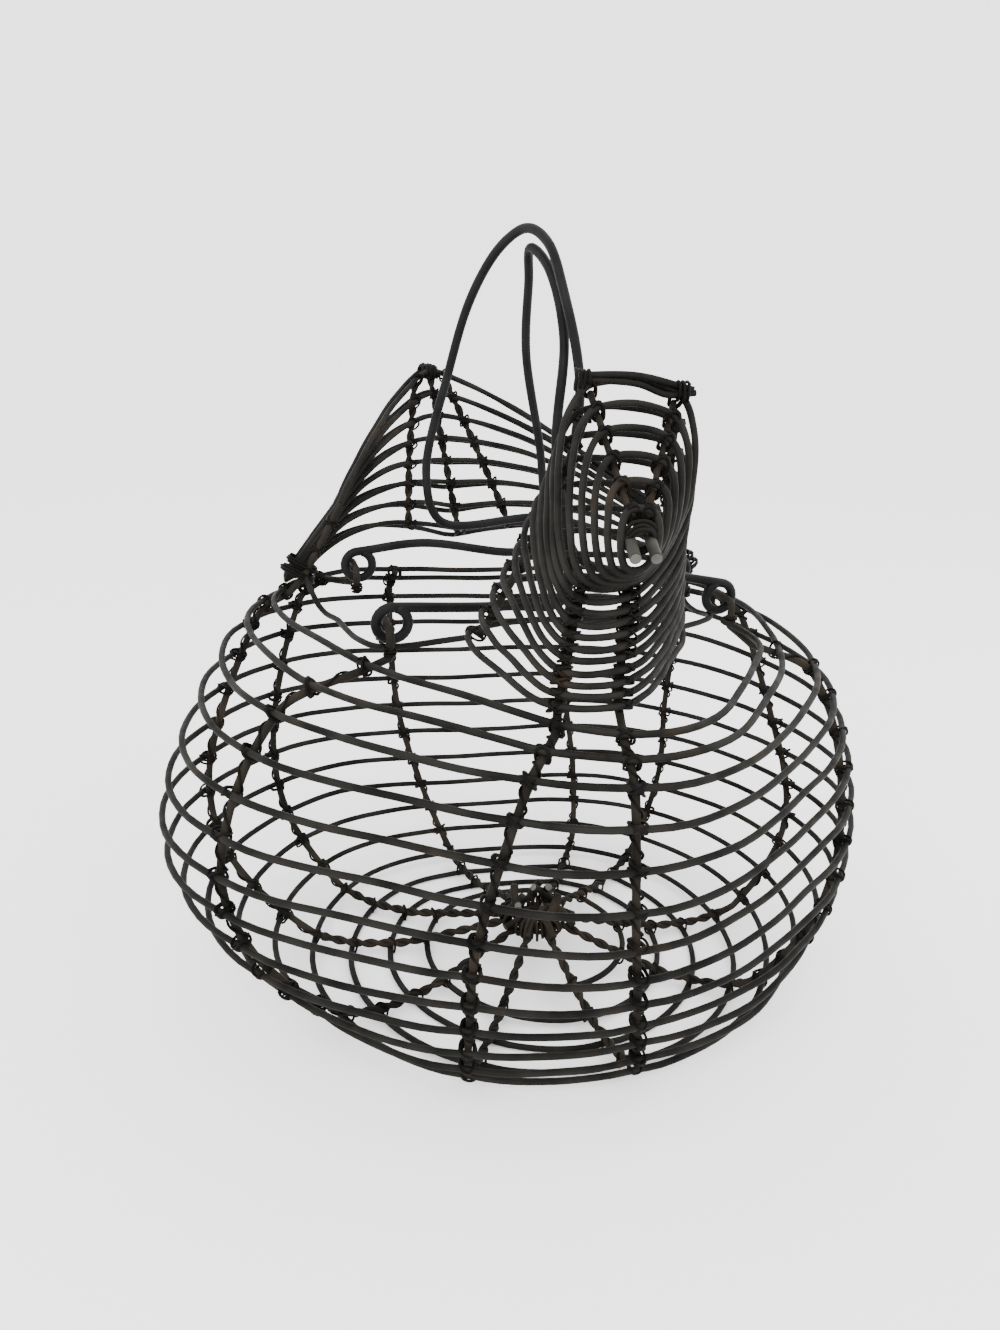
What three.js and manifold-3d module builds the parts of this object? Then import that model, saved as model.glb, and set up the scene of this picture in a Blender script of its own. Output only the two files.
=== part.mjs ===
// Hen-shaped wire egg basket: one wound wire on ten ribs, a ringed neck and head, a fanned tail
// and two hinged bails. Millimetres, +Z up, head towards -Y, tail towards +Y, base at z = 0.
import * as THREE from "three";
import Module from "manifold-3d";
import { mergeVertices } from "three/addons/utils/BufferGeometryUtils.js";

const wasm = await Module();
wasm.setup();

// Wire gauges and clearances
const WINDING_WIRE = 2.3;
const RIB_WIRE = 3.0;
const RING_WIRE = 2.2;
const BAIL_WIRE = 3.4;
const SEAT_GAP = 0.35;
const POST_GAP = 0.6;
const FLAT_DEPTH = 0.5;

// The wound body: how many turns, where each turn lies and how wide it is
const FIRST_ANGLE = 253;
const STEPS_PER_TURN = 24;
const WIRE_SIDES = 6;
const LENGTH_ENDS = [0, 3.9, 6, 8, 10.3, 12.3, 14.2, 16.12];
const LENGTH_GAP = 0.03;
const SIDE_TURN = 3.9;
const RIM_TURN = 16;
const REST_TURNS = [1.5, 2.6];
const HUB_HEIGHT = 11;
const FOOT_HEIGHT = 7;
const LOW_BELLY_HEIGHT = 35;
const BELLY_HEIGHT = 71;
const RIM_HEIGHT = 129.5;
const SHOULDER_DROP = 10.5;

// The hub ring that all ribs start from
const HUB_RADIUS = 7.5;
const HUB_WIRE = 3.2;
const HUB_REACH = HUB_RADIUS + HUB_WIRE / 2 - SEAT_GAP / 2;

// Reach of the body from its middle at each station, towards the chest, flanks, sides, rear corners and rear
const STATIONS = [
  { turn: -1.6, chest: HUB_REACH, flank: HUB_REACH, side: HUB_REACH, corner: HUB_REACH, rear: HUB_REACH, shift: 0 },
  { turn: 0, chest: 30, flank: 30, side: 31, corner: 31, rear: 29, shift: 0 },
  { turn: 2, chest: 56, flank: 57, side: 59, corner: 58, rear: 51, shift: 0 },
  { turn: 4, chest: 77, flank: 83, side: 88, corner: 84, rear: 73, shift: 0 },
  { turn: 7, chest: 89, flank: 97, side: 120, corner: 110, rear: 88, shift: -3 },
  { turn: 10, chest: 100, flank: 99, side: 127, corner: 118, rear: 95, shift: -7 },
  { turn: 14, chest: 96, flank: 88, side: 104, corner: 120, rear: 99, shift: -4 },
  { turn: 16, chest: 84, flank: 66, side: 74, corner: 114, rear: 94, shift: -1 },
];

// Ribs: where each starts and ends round the body, in degrees from +X
const RIB_STEPS = 20;
const RIBS = [
  { name: "rib_front_left", foot: -123, rim: -109 },
  { name: "rib_front_right", foot: -83, rim: -96 },
  { name: "rib_right_front", foot: -34, rim: -6 },
  { name: "rib_right", foot: 0, rim: 29 },
  { name: "rib_right_rear", foot: 40, rim: 41 },
  { name: "rib_rear_right", foot: 60, rim: 68 },
  { name: "rib_rear_left", foot: 105, rim: 112 },
  { name: "rib_left_rear", foot: 147, rim: 128 },
  { name: "rib_left", foot: 170, rim: 140 },
  { name: "rib_left_front", foot: 203, rim: 193 },
];

// Neck: the corners of its lowest ring and of its top ring, with heights above the rim
const NECK_RINGS = 11;
const NECK_BASE = {
  rearLeft: [-33, -6, 5],
  leftSide: [-33, -49, 4],
  frontLeft: [-26, -71, 3.9],
  frontRight: [-7, -73, 3.9],
  rightSide: [20, -44, 4],
  rearRight: [40, -6, 5],
};
const NECK_TOP = {
  rearLeft: [-7, -25, 85.5],
  leftSide: [-21, -45, 58.5],
  frontLeft: [-20, -63, 36.5],
  frontRight: [-4, -64, 36.5],
  rightSide: [21, -43, 56.5],
  rearRight: [21, -31, 83.5],
};
const NECK_REAR_DRAW = 0.5;
const RING_STEPS = 18;

// Head: rings drawn in towards the beak
const HEAD_RINGS = 5;
const BEAK_TIP = [-10, -84, 47.5];
const HEAD_DRAW_IN = 0.74;
const BEAK_LENGTH = 9;
const BEAK_TAIL = 4;
const BEAK_REACH = 5.5;
const CROWN_OVERHANG = 3;
const CROWN_RISE = 2;

// Tail: loops fanned from a short stack at each rear corner to a ridge
const TAIL_LOOPS = 8;
const TAIL_HALF_WIDTH = 81;
const TAIL_CORNER_Y = 77;
const TAIL_TOP_HALF_WIDTH = 66;
const TAIL_TOP_CORNER_Y = 80;
const TAIL_STACK_HEIGHT = 28;
const TAIL_RIDGE_FOOT = [-12, 101, 14.5];
const TAIL_PEAK = [-20, 135, 78.5];
const TAIL_DEPTH_FOOT = 12;
const TAIL_DEPTH_PEAK = 9;
const TAIL_TURN_RADIUS = 3;
const TAIL_SWEEP = 0.35;
const TAIL_RIDGE_ROUNDING = 0.3;
const TAIL_STEPS = 8;
const TAIL_SIDE_RIB_FOOT = 22;
const TAIL_SIDE_RIB_PEAK = 5.5;

// Bail hinges: each bail swings on two hooks in line along Y
const HINGE_RISE = 8.7;
const HINGE_HEIGHT = RIM_HEIGHT + HINGE_RISE;
const LEFT_HINGE_X = -62;
const LEFT_HINGE_Y = [-8, 66];
const RIGHT_HINGE_X = 68;
const RIGHT_HINGE_Y = [12, 50];
const HOOK_HALF_LENGTH = 7.5;
const HOOK_DROP = 9;
const EYE_BORE = 7.2;
const EYE_START = 16;
const RIM_SAG = 3.6;

// The bails' own bends between their two eyes, with heights above the rim
const LEFT_BAIL = [
  [-20, 0, 11],
  [2, 4, 12],
  [-1.6, 14, 63.5],
  [1.2, 22, 97.5],
  [-2, 33, 118.5],
  [-5, 46, 125],
  [-2, 55, 114.5],
  [0.2, 60, 90.5],
  [11.5, 66, 47],
  [13, 66.5, 15],
  [1.5, 66, 13],
  [-35, 66.5, 17],
];
const RIGHT_BAIL = [
  [47, 13, 17],
  [8, 13, 25.5],
  [5.4, 15, 84.5],
  [-0.4, 22, 112.5],
  [-3, 33, 126.5],
  [-7, 46, 131.2],
  [-13, 58, 124.5],
  [-19.5, 70, 107],
  [-25, 76, 81.5],
  [-33, 74, 42.5],
  [-27, 71.5, 24.5],
  [17, 71, 26],
  [48, 54, 19.5],
];
const BAIL_BEND = 7;
const BAIL_SIDES = 8;

// Small helpers on points
const aboveRim = (p) => new THREE.Vector3(p[0], p[1], RIM_HEIGHT + p[2]);
const mix = (a, b, t) => a.clone().lerp(b, t);
const radians = (degrees) => THREE.MathUtils.degToRad(degrees);
const spread = (count) => Array.from({ length: count }, (_, i) => (count > 1 ? i / (count - 1) : 0));

// A smooth curve through rows of [position, value], level beyond its ends
function curveThrough(rows) {
  const slope = (i) => {
    const a = rows[Math.max(i - 1, 0)];
    const b = rows[Math.min(i + 1, rows.length - 1)];
    return (b[1] - a[1]) / (b[0] - a[0]);
  };
  return (x) => {
    const last = rows.length - 2;
    let i = 0;
    while (i < last && x > rows[i + 1][0]) i += 1;
    const [x0, y0] = rows[i];
    const [x1, y1] = rows[i + 1];
    const span = x1 - x0;
    const t = THREE.MathUtils.clamp((x - x0) / span, 0, 1);
    const lift = t * t * (3 - 2 * t);
    const rise = (t * (1 - t) * (1 - t) * slope(i) - t * t * (1 - t) * slope(i + 1)) * span;
    return y0 + (y1 - y0) * lift + rise;
  };
}

// A tube of round wire along points, capped at its ends or closed on itself
function tube(points, diameter, sides = WIRE_SIDES, closed = false) {
  const count = points.length;
  const tangents = points.map((_, i) => {
    const before = closed ? points[(i + count - 1) % count] : points[Math.max(i - 1, 0)];
    const after = closed ? points[(i + 1) % count] : points[Math.min(i + 1, count - 1)];
    return after.clone().sub(before).normalize();
  });
  const start = Math.abs(tangents[0].z) < 0.9 ? new THREE.Vector3(0, 0, 1) : new THREE.Vector3(0, 1, 0);
  const normals = [start.clone().addScaledVector(tangents[0], -start.dot(tangents[0])).normalize()];
  const carry = (normal, tangent) => normal.clone().addScaledVector(tangent, -normal.dot(tangent)).normalize();
  for (let i = 1; i < count; i += 1) normals.push(carry(normals[i - 1], tangents[i]));
  let twist = 0;
  if (closed) {
    const back = carry(normals[count - 1], tangents[0]);
    twist = Math.atan2(back.clone().cross(normals[0]).dot(tangents[0]), back.dot(normals[0]));
  }
  const positions = [];
  points.forEach((point, i) => {
    const across = tangents[i].clone().cross(normals[i]);
    for (let k = 0; k < sides; k += 1) {
      const angle = (2 * Math.PI * (k + 0.5)) / sides + (twist * i) / count;
      const offset = normals[i].clone().multiplyScalar(Math.cos(angle)).addScaledVector(across, Math.sin(angle));
      const place = point.clone().addScaledVector(offset, diameter / 2);
      positions.push(place.x, place.y, place.z);
    }
  });
  const faces = [];
  const spans = closed ? count : count - 1;
  for (let i = 0; i < spans; i += 1) {
    const next = (i + 1) % count;
    for (let k = 0; k < sides; k += 1) {
      const a = i * sides + k;
      const b = i * sides + ((k + 1) % sides);
      const c = next * sides + k;
      const d = next * sides + ((k + 1) % sides);
      faces.push(a, b, d, a, d, c);
    }
  }
  if (!closed) {
    const far = (count - 1) * sides;
    for (let k = 1; k < sides - 1; k += 1) {
      faces.push(0, k + 1, k);
      faces.push(far, far + k, far + k + 1);
    }
  }
  const geometry = new THREE.BufferGeometry();
  geometry.setAttribute("position", new THREE.Float32BufferAttribute(positions, 3));
  geometry.setIndex(faces);
  geometry.computeVertexNormals();
  return geometry;
}

// Points along a smooth curve
function smooth(points, steps, closed = false) {
  const curve = new THREE.CatmullRomCurve3(points, closed, "centripetal");
  const places = curve.getSpacedPoints(steps);
  return closed ? places.slice(0, -1) : places;
}

// A bent wire: straight runs with a round bend at each inner corner
function bent(points, bend, steps = 3) {
  const last = points.length - 1;
  const out = [];
  points.forEach((corner, i) => {
    if (i === 0 || i === last) {
      out.push(corner.clone());
      return;
    }
    const before = points[i - 1];
    const after = points[i + 1];
    const reach = Math.min(bend, 0.45 * corner.distanceTo(before), 0.45 * corner.distanceTo(after));
    const from = corner.clone().add(before.clone().sub(corner).setLength(reach));
    const to = corner.clone().add(after.clone().sub(corner).setLength(reach));
    const arc = new THREE.QuadraticBezierCurve3(from, corner, to);
    out.push(...arc.getPoints(steps));
  });
  return out;
}

// Least distance from a place to a run of wire
function distanceToRun(place, run, closed = true) {
  const line = new THREE.Line3();
  const nearest = new THREE.Vector3();
  let least = Infinity;
  const last = closed ? run.length : run.length - 1;
  for (let i = 0; i < last; i += 1) {
    line.set(run[i], run[(i + 1) % run.length]);
    line.closestPointToPoint(place, true, nearest);
    least = Math.min(least, nearest.distanceTo(place));
  }
  return least;
}

// The place on a closed wire that lies nearest to a point
function nearestOn(run, place) {
  const line = new THREE.Line3();
  let best = run[0];
  run.forEach((point, i) => {
    line.set(point, run[(i + 1) % run.length]);
    const near = line.closestPointToPoint(place, true, new THREE.Vector3());
    if (near.distanceTo(place) < best.distanceTo(place)) best = near;
  });
  return best.clone();
}

// The first place, from a corner towards a direction, that keeps a distance to all the closed wires
function seat(runs, corner, direction, distance) {
  const step = direction.clone().setLength(0.1);
  const place = corner.clone();
  while (runs.some((run) => distanceToRun(place, run) < distance)) place.add(step);
  return place;
}

// The part of a direction that lies square to a line
function squareTo(line, direction) {
  const along = line.clone().normalize();
  return direction.clone().addScaledVector(along, -direction.dot(along));
}

// The body's surface: a radius in every direction at every turn, and a height for every turn
const restHeight = WINDING_WIRE / 2 - FLAT_DEPTH;
const heightAt = curveThrough([
  [STATIONS[0].turn, HUB_HEIGHT],
  [REST_TURNS[0], restHeight],
  [REST_TURNS[1], restHeight],
  [4, FOOT_HEIGHT],
  [7, LOW_BELLY_HEIGHT],
  [10, BELLY_HEIGHT],
  [14, RIM_HEIGHT - SHOULDER_DROP],
  [RIM_TURN, RIM_HEIGHT],
]);
const reachAt = {};
for (const key of ["chest", "flank", "side", "corner", "rear", "shift"]) {
  reachAt[key] = curveThrough(STATIONS.map((station) => [station.turn, station[key]]));
}
const AROUND = ["side", "corner", "rear", "corner", "side", "flank", "chest", "flank"];

function radiusAt(turn, angle) {
  const place = ((((angle % 360) + 360) % 360) / 360) * AROUND.length;
  const i = Math.floor(place);
  const t = place - i;
  const value = (k) => reachAt[AROUND[(k + AROUND.length) % AROUND.length]](turn);
  const slope = (k) => (value(k + 1) - value(k - 1)) / 2;
  const lift = t * t * (3 - 2 * t);
  const rise = t * (1 - t) * (1 - t) * slope(i) - t * t * (1 - t) * slope(i + 1);
  return value(i) + (value(i + 1) - value(i)) * lift + rise;
}

function surface(turn, angle) {
  const radius = radiusAt(turn, angle);
  const a = radians(angle);
  const x = radius * Math.cos(a) + reachAt.shift(turn);
  const flat = turn > REST_TURNS[0] && turn < REST_TURNS[1];
  return new THREE.Vector3(x, radius * Math.sin(a), flat ? restHeight : heightAt(turn));
}

function inwardNormal(turn, angle) {
  const along = surface(turn + 0.05, angle).sub(surface(turn - 0.05, angle));
  const around = surface(turn, angle + 0.5).sub(surface(turn, angle - 0.5));
  return around.cross(along).normalize().negate();
}

const ribAngle = (rib, turn) => {
  const t = THREE.MathUtils.clamp((turn - SIDE_TURN) / (RIM_TURN - SIDE_TURN), 0, 1);
  return rib.foot + (rib.rim - rib.foot) * t;
};

// The winding bends at every rib, so each length has a corner there
function ribCrossings() {
  const turns = [];
  for (let n = -1; n <= RIM_TURN + 1; n += 1) {
    for (const rib of RIBS) {
      let turn = n;
      for (let pass = 0; pass < 4; pass += 1) turn = n + (ribAngle(rib, turn) - FIRST_ANGLE + 360) / 360;
      turns.push(turn);
    }
  }
  return turns.sort((a, b) => a - b);
}

function windingRun([from, to]) {
  const inside = ribCrossings().filter((turn) => turn > from + 0.01 && turn < to - 0.01);
  const corners = [from, ...inside, to];
  const onSurface = (turn) => surface(turn, FIRST_ANGLE + 360 * turn);
  const points = [];
  for (let i = 0; i + 1 < corners.length; i += 1) {
    const a = corners[i];
    const b = corners[i + 1];
    const parts = Math.max(1, Math.round((b - a) * STEPS_PER_TURN));
    for (let k = 0; k < parts; k += 1) {
      points.push(onSurface(a + ((b - a) * k) / parts));
    }
  }
  points.push(onSurface(to));
  return points;
}

// Least clear distance of a wound wire to its own neighbouring turns
function leastSelfGap(points, diameter) {
  const skip = Math.round(STEPS_PER_TURN / 2);
  let least = Infinity;
  for (let i = 0; i < points.length; i += 1) {
    for (let k = i + skip; k + 1 < points.length; k += 1) {
      least = Math.min(least, distanceToRun(points[i], [points[k], points[k + 1]], false));
    }
  }
  return least - diameter;
}

// Cuts a solid flat at the ground
function standFlat(geometry) {
  geometry.deleteAttribute("normal");
  geometry.computeBoundingBox();
  const box = geometry.boundingBox;
  const merged = mergeVertices(geometry, 1e-4);
  const asSolid = (g) => {
    const mesh = new wasm.Mesh({
      numProp: 3,
      vertProperties: new Float32Array(g.attributes.position.array),
      triVerts: new Uint32Array(g.index.array),
    });
    mesh.merge();
    return new wasm.Manifold(mesh);
  };
  const width = box.max.x - box.min.x + WINDING_WIRE;
  const depth = box.max.y - box.min.y + WINDING_WIRE;
  const ground = new THREE.BoxGeometry(width, depth, WINDING_WIRE);
  ground.translate((box.max.x + box.min.x) / 2, (box.max.y + box.min.y) / 2, -WINDING_WIRE / 2);
  ground.deleteAttribute("normal");
  ground.deleteAttribute("uv");
  const cut = asSolid(merged).subtract(asSolid(mergeVertices(ground, 1e-4))).getMesh();
  const result = new THREE.BufferGeometry();
  result.setAttribute("position", new THREE.Float32BufferAttribute(cut.vertProperties, 3));
  result.setIndex(Array.from(cut.triVerts));
  result.computeVertexNormals();
  return result;
}

// Materials of old iron wire
const windingIron = new THREE.MeshStandardMaterial({ color: 0x35322f, roughness: 0.62, metalness: 0.85 });
const ribIron = new THREE.MeshStandardMaterial({ color: 0x3a332c, roughness: 0.7, metalness: 0.8 });
const bailIron = new THREE.MeshStandardMaterial({ color: 0x28282a, roughness: 0.5, metalness: 0.9 });

const basket = new THREE.Group();
function add(name, geometry, material) {
  const mesh = new THREE.Mesh(geometry, material);
  mesh.name = name;
  basket.add(mesh);
}

// The wound body in lengths that lie end to end
const lengthNames = [
  "bottom_winding",
  "low_belly_winding",
  "middle_belly_winding",
  "high_belly_winding",
  "low_shoulder_winding",
  "middle_shoulder_winding",
  "high_shoulder_winding",
];
lengthNames.forEach((name, i) => {
  const run = windingRun([LENGTH_ENDS[i] + (i > 0 ? LENGTH_GAP : 0), LENGTH_ENDS[i + 1]]);
  console.log(name, "least gap between turns", leastSelfGap(run, WINDING_WIRE).toFixed(2), "mm");
  const wire = tube(run, WINDING_WIRE);
  add(name, i === 0 ? standFlat(wire) : wire, windingIron);
});

// The hub ring that the ribs start from
const ribSeat = (WINDING_WIRE + RIB_WIRE) / 2 + SEAT_GAP;
const hubCentre = new THREE.Vector3(0, 0, heightAt(STATIONS[0].turn) + ribSeat);
const hubRing = spread(17).slice(0, -1).map((t) => {
  const a = 2 * Math.PI * t;
  return hubCentre.clone().add(new THREE.Vector3(HUB_RADIUS * Math.cos(a), HUB_RADIUS * Math.sin(a), 0));
});
add("hub_ring", tube(hubRing, HUB_WIRE, WIRE_SIDES, true), ribIron);

// Neck rings, from the lowest to the crown
const ringKeys = Object.keys(NECK_BASE);
const neckCorners = spread(NECK_RINGS).map((t) => {
  const corners = {};
  for (const key of ringKeys) corners[key] = mix(aboveRim(NECK_BASE[key]), aboveRim(NECK_TOP[key]), t);
  // The rear posts draw together sooner than the sides do
  for (const key of ["rearLeft", "rearRight"]) {
    const draw = t * (1 + NECK_REAR_DRAW * (1 - t));
    corners[key].x = THREE.MathUtils.lerp(NECK_BASE[key][0], NECK_TOP[key][0], draw);
  }
  return corners;
});
const ringRun = (corners) => smooth(ringKeys.map((key) => corners[key]), RING_STEPS, true);
const neckRuns = neckCorners.map(ringRun);
neckRuns.forEach((run, i) => add(`neck_ring_${i + 1}`, tube(run, RING_WIRE, 5, true), windingIron));

// Head rings, drawn in towards the beak
const beakTip = aboveRim(BEAK_TIP);
const topCorners = neckCorners[NECK_RINGS - 1];
const headCorners = spread(HEAD_RINGS).map((_, i) => {
  const t = (HEAD_DRAW_IN * (i + 1)) / HEAD_RINGS;
  const corners = {};
  for (const key of ringKeys) corners[key] = mix(topCorners[key], beakTip, t);
  return corners;
});
const headRuns = headCorners.map(ringRun);
headRuns.forEach((run, i) => add(`head_ring_${i + 1}`, tube(run, RING_WIRE, 5, true), windingIron));

// Where a post runs inside the rings at one of their corners
const postSeat = (RING_WIRE + RIB_WIRE) / 2 + POST_GAP;
const staySeat = RING_WIRE + POST_GAP;
function insideRings(runs, corners, key, distance) {
  const line = corners.at(-1)[key].clone().sub(corners[0][key]);
  return runs.map((run, i) => {
    const centre = ringKeys.reduce((sum, k) => sum.add(corners[i][k]), new THREE.Vector3());
    centre.multiplyScalar(1 / ringKeys.length);
    const inward = squareTo(line, centre.sub(corners[i][key]));
    return seat(runs, corners[i][key], inward, distance);
  });
}
for (const [name, key] of [["neck_post_left", "rearLeft"], ["neck_post_right", "rearRight"]]) {
  const post = insideRings(neckRuns.slice(0, -1), neckCorners.slice(0, -1), key, postSeat);
  add(name, tube(post, RIB_WIRE), ribIron);
}
for (const [name, key] of [["head_stay_left", "rearLeft"], ["head_stay_right", "rearRight"]]) {
  const stay = insideRings([neckRuns.at(-1), ...headRuns], [topCorners, ...headCorners], key, staySeat);
  add(name, tube(stay, RING_WIRE), ribIron);
}

// The crown bar over the top ring
const crownLeft = topCorners.rearLeft.clone();
const crownRight = topCorners.rearRight.clone();
const crownLine = crownRight.clone().sub(crownLeft).setLength(CROWN_OVERHANG);
const crownMiddle = mix(crownLeft, crownRight, 0.5).add(new THREE.Vector3(0, 0, CROWN_RISE));
const crownLift = new THREE.Vector3(0, 0, RING_WIRE + SEAT_GAP);
const crown = smooth([crownLeft.sub(crownLine), crownMiddle, crownRight.add(crownLine)], 8);
add("crown_bar", tube(crown.map((p) => p.add(crownLift)), RING_WIRE), windingIron);

// The beak: one wire doubled back under the last head ring, its two ends forward
const lastHead = headRuns[HEAD_RINGS - 1];
const middleOf = (run) => run.reduce((sum, p) => sum.add(p), new THREE.Vector3()).multiplyScalar(1 / run.length);
const beakRoot = middleOf(lastHead);
const beakLine = beakTip.clone().sub(middleOf(neckRuns[NECK_RINGS - 1])).normalize();
const beakSide = (side) => {
  const outer = beakRoot.clone().add(new THREE.Vector3(side * BEAK_REACH, 0, 0));
  const root = seat([lastHead], outer, new THREE.Vector3(-side, 0, 0), RING_WIRE + SEAT_GAP);
  return [
    root.clone().addScaledVector(beakLine, BEAK_LENGTH),
    root.clone().addScaledVector(beakLine, -BEAK_TAIL),
  ];
};
const beak = [...beakSide(-1), ...beakSide(1).reverse()];
add("beak_wire", tube(bent(beak, 1.5), RING_WIRE), windingIron);

// Tail loops, from each rear corner over the ridge and back
const tailFoot = { half: TAIL_HALF_WIDTH, y: TAIL_CORNER_Y, z: RIM_HEIGHT + WINDING_WIRE + SEAT_GAP };
const tailTop = { half: TAIL_TOP_HALF_WIDTH, y: TAIL_TOP_CORNER_Y, z: tailFoot.z + TAIL_STACK_HEIGHT };
const tailCorner = (t, side) => new THREE.Vector3(
  side * THREE.MathUtils.lerp(tailFoot.half, tailTop.half, t),
  THREE.MathUtils.lerp(tailFoot.y, tailTop.y, t),
  THREE.MathUtils.lerp(tailFoot.z, tailTop.z, t),
);
const tailRidge = (t) => mix(aboveRim(TAIL_RIDGE_FOOT), aboveRim(TAIL_PEAK), t);
const tailBack = (t) => {
  const depth = THREE.MathUtils.lerp(TAIL_DEPTH_FOOT, TAIL_DEPTH_PEAK, t);
  return tailRidge(t).add(new THREE.Vector3(0, depth, (-depth * (1 - t)) / 2));
};
// Each run leaves its corner along the tail's edge and turns over to the ridge
const tailSide = (corner, ridge, peak) => {
  const along = mix(corner, peak, TAIL_SWEEP);
  return new THREE.QuadraticBezierCurve3(corner, along, ridge).getPoints(TAIL_STEPS);
};
// From one corner over the ridge to the other, with the ridge itself rounded off
const tailFace = (from, ridge, to, peak) => {
  const up = tailSide(from, ridge, peak).slice(0, -1);
  const down = tailSide(to, ridge, peak).slice(0, -1).reverse();
  return [...up, mix(ridge, mix(up.at(-1), down[0], 0.5), TAIL_RIDGE_ROUNDING), ...down];
};
const tailTurn = (corner, side) => [-45, 0, 45].map((degrees) => {
  const a = radians(side > 0 ? degrees : -degrees);
  const reach = new THREE.Vector3(side * Math.cos(a), Math.sin(a), 0);
  return corner.clone().addScaledVector(reach, TAIL_TURN_RADIUS);
});
const tailRuns = spread(TAIL_LOOPS).map((t) => {
  const [left, right] = [tailCorner(t, -1), tailCorner(t, 1)];
  const forward = new THREE.Vector3(0, -TAIL_TURN_RADIUS, 0);
  const front = tailFace(left.clone().add(forward), tailRidge(t), right.clone().add(forward), tailRidge(1));
  const rear = tailFace(right.clone().sub(forward), tailBack(t), left.clone().sub(forward), tailBack(1));
  return [...front, ...tailTurn(right, 1), ...rear, ...tailTurn(left, -1)];
});
tailRuns.forEach((run, i) => add(`tail_loop_${i + 1}`, tube(run, RING_WIRE, 5, true), windingIron));

// Upright ribs inside the tail's front face
function tailRib(offsetAt) {
  const starts = tailRuns.map((run, i) => {
    const t = i / (TAIL_LOOPS - 1);
    const offset = offsetAt(t);
    const end = tailCorner(t, Math.sign(offset) || 1);
    const ridge = tailRidge(t);
    return nearestOn(run, mix(ridge, end, Math.abs(offset / (end.x - ridge.x))));
  });
  const inward = squareTo(starts.at(-1).clone().sub(starts[0]), new THREE.Vector3(0, 1, 0));
  return starts.map((start) => seat(tailRuns, start, inward, postSeat));
}
const tailRibs = { tail_rib_left: -1, tail_rib_middle: 0, tail_rib_right: 1 };
for (const [name, side] of Object.entries(tailRibs)) {
  const run = tailRib((t) => side * THREE.MathUtils.lerp(TAIL_SIDE_RIB_FOOT, TAIL_SIDE_RIB_PEAK, t));
  add(name, tube(run, RIB_WIRE), ribIron);
}

// How each rib ends: a hook that carries a bail, or a run on into the neck or tail
function hook(x, y) {
  const low = HINGE_HEIGHT - HOOK_DROP;
  return [
    new THREE.Vector3(x, y - HOOK_HALF_LENGTH, low),
    new THREE.Vector3(x, y - HOOK_HALF_LENGTH, HINGE_HEIGHT),
    new THREE.Vector3(x, y + HOOK_HALF_LENGTH, HINGE_HEIGHT),
    new THREE.Vector3(x, y + HOOK_HALF_LENGTH, low),
  ];
}
const tailEdge = (side) => tailRuns.map((run, i) => {
  const corner = tailCorner(i / (TAIL_LOOPS - 1), side);
  return seat([run], corner, new THREE.Vector3(0, -1, 0), postSeat);
});
const ribEnds = {
  rib_front_left: insideRings(neckRuns, neckCorners, "frontLeft", postSeat),
  rib_front_right: insideRings(neckRuns, neckCorners, "frontRight", postSeat),
  rib_right_front: bent(hook(RIGHT_HINGE_X, RIGHT_HINGE_Y[0]), 3),
  rib_right: bent(hook(RIGHT_HINGE_X, RIGHT_HINGE_Y[1]).reverse(), 3),
  rib_right_rear: tailEdge(1),
  rib_rear_right: [],
  rib_rear_left: [],
  rib_left_rear: bent(hook(LEFT_HINGE_X, LEFT_HINGE_Y[1]).reverse(), 3),
  rib_left: tailEdge(-1),
  rib_left_front: bent(hook(LEFT_HINGE_X, LEFT_HINGE_Y[0]), 3),
};
const ribTopTurn = RIM_TURN - 0.15;
for (const rib of RIBS) {
  const side = spread(RIB_STEPS).map((t) => {
    const turn = THREE.MathUtils.lerp(STATIONS[0].turn, ribTopTurn, t);
    const angle = ribAngle(rib, turn);
    return surface(turn, angle).addScaledVector(inwardNormal(turn, angle), ribSeat);
  });
  add(rib.name, tube([...side, ...ribEnds[rib.name]], RIB_WIRE), ribIron);
}

// Rim wires from the neck to each rear corner, past the hooks
const rimHeight = HINGE_HEIGHT - HOOK_DROP - RING_WIRE / 2 - SEAT_GAP;
function rimWire(side, hingeX, hookY) {
  const start = aboveRim(side < 0 ? NECK_BASE.rearLeft : NECK_BASE.rearRight);
  const run = [
    start.sub(new THREE.Vector3(0, 0, RING_WIRE + SEAT_GAP)),
    new THREE.Vector3(hingeX, hookY + HOOK_HALF_LENGTH, rimHeight),
    new THREE.Vector3(side * (TAIL_HALF_WIDTH - 9), TAIL_CORNER_Y - 36, rimHeight - RIM_SAG),
    new THREE.Vector3(side * (TAIL_HALF_WIDTH - 5), TAIL_CORNER_Y - 18, rimHeight - RIM_SAG),
  ];
  return smooth(run, 24);
}
add("rim_wire_left", tube(rimWire(-1, LEFT_HINGE_X, LEFT_HINGE_Y[0]), RING_WIRE), windingIron);
add("rim_wire_right", tube(rimWire(1, RIGHT_HINGE_X, RIGHT_HINGE_Y[0]), RING_WIRE), windingIron);

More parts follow.
